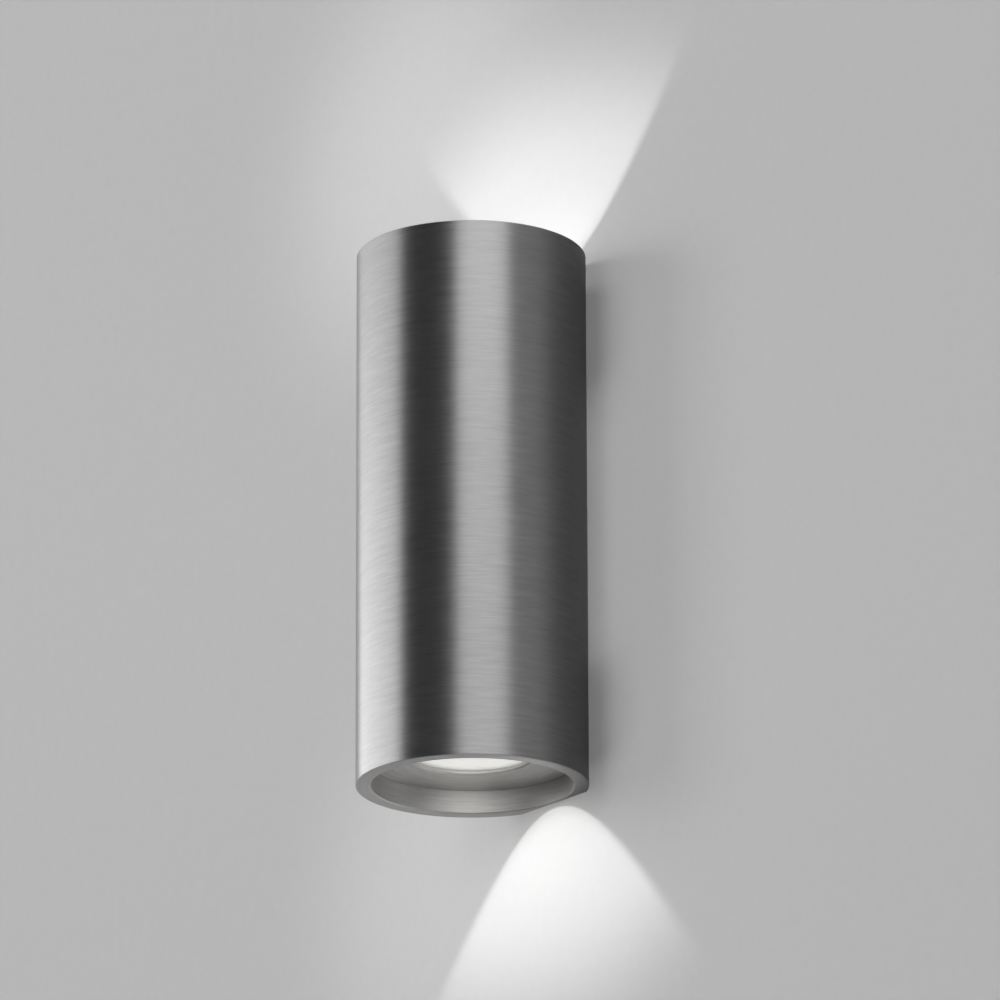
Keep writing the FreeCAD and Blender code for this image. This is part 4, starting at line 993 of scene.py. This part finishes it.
def beam(name, sign, strength, wall):
    """The lamp's own beam at one end, which only the wall receives.

    It fades out over a few centimetres, as the photographed beam does, and not with the square
    of the distance.
    """
    source_depth, fade_start, fade_end = 0.0436, 0.090, 0.146
    light = add_light(name, "SPOT", strength, [wall], [bpy.data.objects["tube"]])
    light.location = (0.0, AXIS_Y, sign * (HALF_HEIGHT - source_depth))
    light.rotation_euler = (0.0 if sign < 0 else math.pi, 0.0, 0.0)
    data = light.data
    data.spot_size = math.radians(80)
    data.spot_blend = 0.2
    data.shadow_soft_size = 0.004
    data.use_nodes = True
    tree = data.node_tree
    path = add(tree, "ShaderNodeLightPath").outputs["Ray Length"]
    fade = stretch(tree, path, fade_start, fade_end, 1.0, 0.0, "SMOOTHSTEP")
    even = add(tree, "ShaderNodeLightFalloff", inputs={"Strength": 1.0}).outputs["Constant"]
    plug(tree, tree.nodes["Emission"].inputs["Strength"], times(tree, even, fade))
    lay_out(tree)


def spill(name, power, x, z, reach, wall):
    """A soft round pool of light on the wall beside a beam, which casts no shadow."""
    distance = 0.15
    light = add_light(name, "SPOT", power, [wall], [wall])
    light.location = (x, -distance, z)
    light.rotation_euler = (math.pi / 2, 0.0, 0.0)
    light.data.spot_size = 2 * math.atan(reach / distance)
    light.data.spot_blend = 1.0
    light.data.shadow_soft_size = 0.02


def mouth_light(name, sign, radiance, radius, depth, receivers):
    """The light that one glass throws on the ring and the walls of its mouth."""
    light = add_light(name, "AREA", math.pi * math.pi * radius ** 2 * radiance, receivers)
    light.data.shape = "DISK"
    light.data.size = 2 * radius
    light.location = (0.0, AXIS_Y, sign * (HALF_HEIGHT - depth))
    light.rotation_euler = (0.0 if sign < 0 else math.pi, 0.0, 0.0)


def world_light(studio):
    """Pale behind the wall and dim before it; the camera sees an even background."""
    world = bpy.data.worlds.new("studio")
    bpy.context.scene.world = world
    world.use_nodes = True
    tree = world.node_tree
    tree.nodes.clear()
    where = add(tree, "ShaderNodeTexCoord").outputs["Generated"]
    behind = stretch(tree, split(tree, where)["Y"], -0.02, 0.06)
    room = blend_colours(tree, behind, full(studio.room), full(studio.background))
    seen = add(tree, "ShaderNodeLightPath").outputs["Is Camera Ray"]
    shown = blend_colours(tree, seen, room, full(studio.background))
    glow = add(tree, "ShaderNodeBackground", inputs={"Color": shown, "Strength": 1.0})
    add(tree, "ShaderNodeOutputWorld", inputs={"Surface": glow.outputs[0]})
    lay_out(tree)


def add_camera(studio):
    """Camera at the photo's angle, below the lamp and tilted up, without shift.

    Its place and its forward and right directions are first worked out in a frame where it looks
    along +Y, and then turned by its azimuth.
    """
    tilt, pan, roll = studio.camera_tilt, studio.camera_pan, studio.camera_roll
    forward = Vector((math.sin(pan) * math.cos(tilt), math.cos(pan) * math.cos(tilt),
                      math.sin(tilt)))
    right = Vector((math.cos(pan), -math.sin(pan), 0.0))
    upward = right.cross(forward)
    right, upward = (math.cos(roll) * right + math.sin(roll) * upward,
                     math.cos(roll) * upward - math.sin(roll) * right)
    data = bpy.data.cameras.new("photo_camera")
    data.lens = studio.camera_lens
    data.sensor_width = 36.0
    data.clip_start, data.clip_end = 0.05, 60.0
    camera = new_object("photo_camera", data)
    place = Vector((0.0, -studio.camera_distance, -HALF_HEIGHT - studio.camera_drop))
    matrix = Matrix((right, upward, -forward)).transposed().to_4x4()
    matrix.translation = place
    swing = Matrix.Rotation(studio.camera_azimuth, 4, "Z")
    camera.matrix_world = Matrix.Translation((0.0, AXIS_Y, 0.0)) @ swing @ matrix
    bpy.context.scene.camera = camera


class TUBELIGHT_OT_studio(bpy.types.Operator):
    """Sets up the wall, the floor, the lights and the camera"""

    bl_idname = "tube_light.studio"
    bl_label = "Studio"

    def execute(self, context):
        studio = context.scene.tube_light.studio
        drop, back, reach = -studio.floor_drop, 0.0005, 4.0
        # the wall is open behind the tube's flat back, as it is for a cable box
        wide, high = 0.0165, HALF_HEIGHT - 0.001
        corners = [(x, back, z) for z in (drop, -high, high, 3.0)
                   for x in (-reach, -wide, wide, reach)]
        faces = [(4 * row + column, 4 * row + column + 1, 4 * row + column + 5, 4 * row + column + 4)
                 for row in range(3) for column in range(3) if (row, column) != (1, 1)]
        # shaded=True paints a shade into the wall's paint close to the lamp's right side, which only
        # the lamp's reflection shows
        wall = stage_piece("wall", corners, faces,
                           stage_material("wall_paint", studio.wall, shaded=True))
        corners = [(-reach, -reach, drop), (reach, -reach, drop), (reach, back, drop),
                   (-reach, back, drop)]
        floor = stage_piece("floor", corners, [(0, 1, 2, 3)],
                            stage_material("floor_paint", studio.floor))
        stage = [wall, floor]
        lamp = [thing for thing in context.scene.objects
                if thing.type == "MESH" and thing not in stage]
        for name, towards, rise, distance, wide, high, glow in (
                ("left_box", -144.3, 0.11, 1.6, 2.22, 0.82, studio.left_glow),
                ("right_box", -25.5, 1.50, 1.6, 1.67, 1.96, studio.right_glow),
                ("low_box", -30.0, -0.85, 1.6, 1.5, 1.4, studio.low_glow),
                ("top_box", -90.0, 2.0, 0.5, 1.6, 0.8, studio.top_glow),
                ("back_left_box", 125.0, 0.3, 1.6, 1.0, 1.6, studio.back_glow),
                ("back_right_box", 55.0, 0.3, 1.6, 1.0, 1.6, studio.back_glow)):
            softbox(name, lamp, towards, rise, distance, wide, high, radiance=glow)
        softbox("wash_even", stage, -90.0, 0.3, 3.0, 2.0, 2.0, power=studio.wash_even,
                blockers=[wall])
        softbox("wash_right", stage, -70.0, 0.5, 3.0, 1.0, 1.0, power=studio.wash_right)
        softbox("wash_left", stage, -128.0, 0.5, 3.0, 1.4, 1.2, power=studio.wash_left)
        spill("spill_upper", 1.5 * studio.spill, -0.075, HALF_HEIGHT + 0.066, 0.11, wall)
        spill("spill_lower", studio.spill, -0.068, -HALF_HEIGHT - 0.012, 0.085, wall)
        glass = context.scene.tube_light.lens
        for end, sign in ENDS:
            beam("beam_" + end, sign, studio.beam, wall)
            mouth_light("mouth_light_" + end, sign, studio.lens_glow, 0.66 * glass.radius,
                        glass.depth - 0.0001,
                        [bpy.data.objects["tube"], bpy.data.objects["bezel_ring_" + end]])
        world_light(studio)
        add_camera(studio)
        context.scene.view_settings.view_transform = "Standard"
        return {"FINISHED"}


# ---------------- panel and registration
class TUBELIGHT_PT_panel(bpy.types.Panel):
    """Sizes, colours and the steps that make the lamp"""

    bl_idname = "TUBELIGHT_PT_panel"
    bl_label = "Tube wall light"
    bl_space_type = "VIEW_3D"
    bl_region_type = "UI"
    bl_category = "Tube light"

    def draw(self, context):
        settings = context.scene.tube_light
        for part in (settings.tube, settings.bezel, settings.lens, settings.finishes,
                     settings.studio):
            box = self.layout.box()
            for name in part.__annotations__:
                box.prop(part, name)
        for step in STEPS:
            self.layout.operator(step.bl_idname)


STEPS = (TUBELIGHT_OT_tube, TUBELIGHT_OT_bezels, TUBELIGHT_OT_lenses, TUBELIGHT_OT_inner_finishes,
         TUBELIGHT_OT_studio)
CLASSES = (TubeSizes, BezelSizes, LensSizes, Finishes, Studio, TubeLight) + STEPS + (
    TUBELIGHT_PT_panel,)


def register():
    for item in CLASSES:
        bpy.utils.register_class(item)
    bpy.types.Scene.tube_light = PointerProperty(type=TubeLight)


def unregister():
    del bpy.types.Scene.tube_light
    for item in reversed(CLASSES):
        bpy.utils.unregister_class(item)


def main():
    register()
    bpy.ops.tube_light.tube()
    bpy.ops.tube_light.bezels()
    bpy.ops.tube_light.lenses()
    bpy.ops.tube_light.inner_finishes()
    bpy.ops.tube_light.studio()


if __name__ == "__main__":
    main()
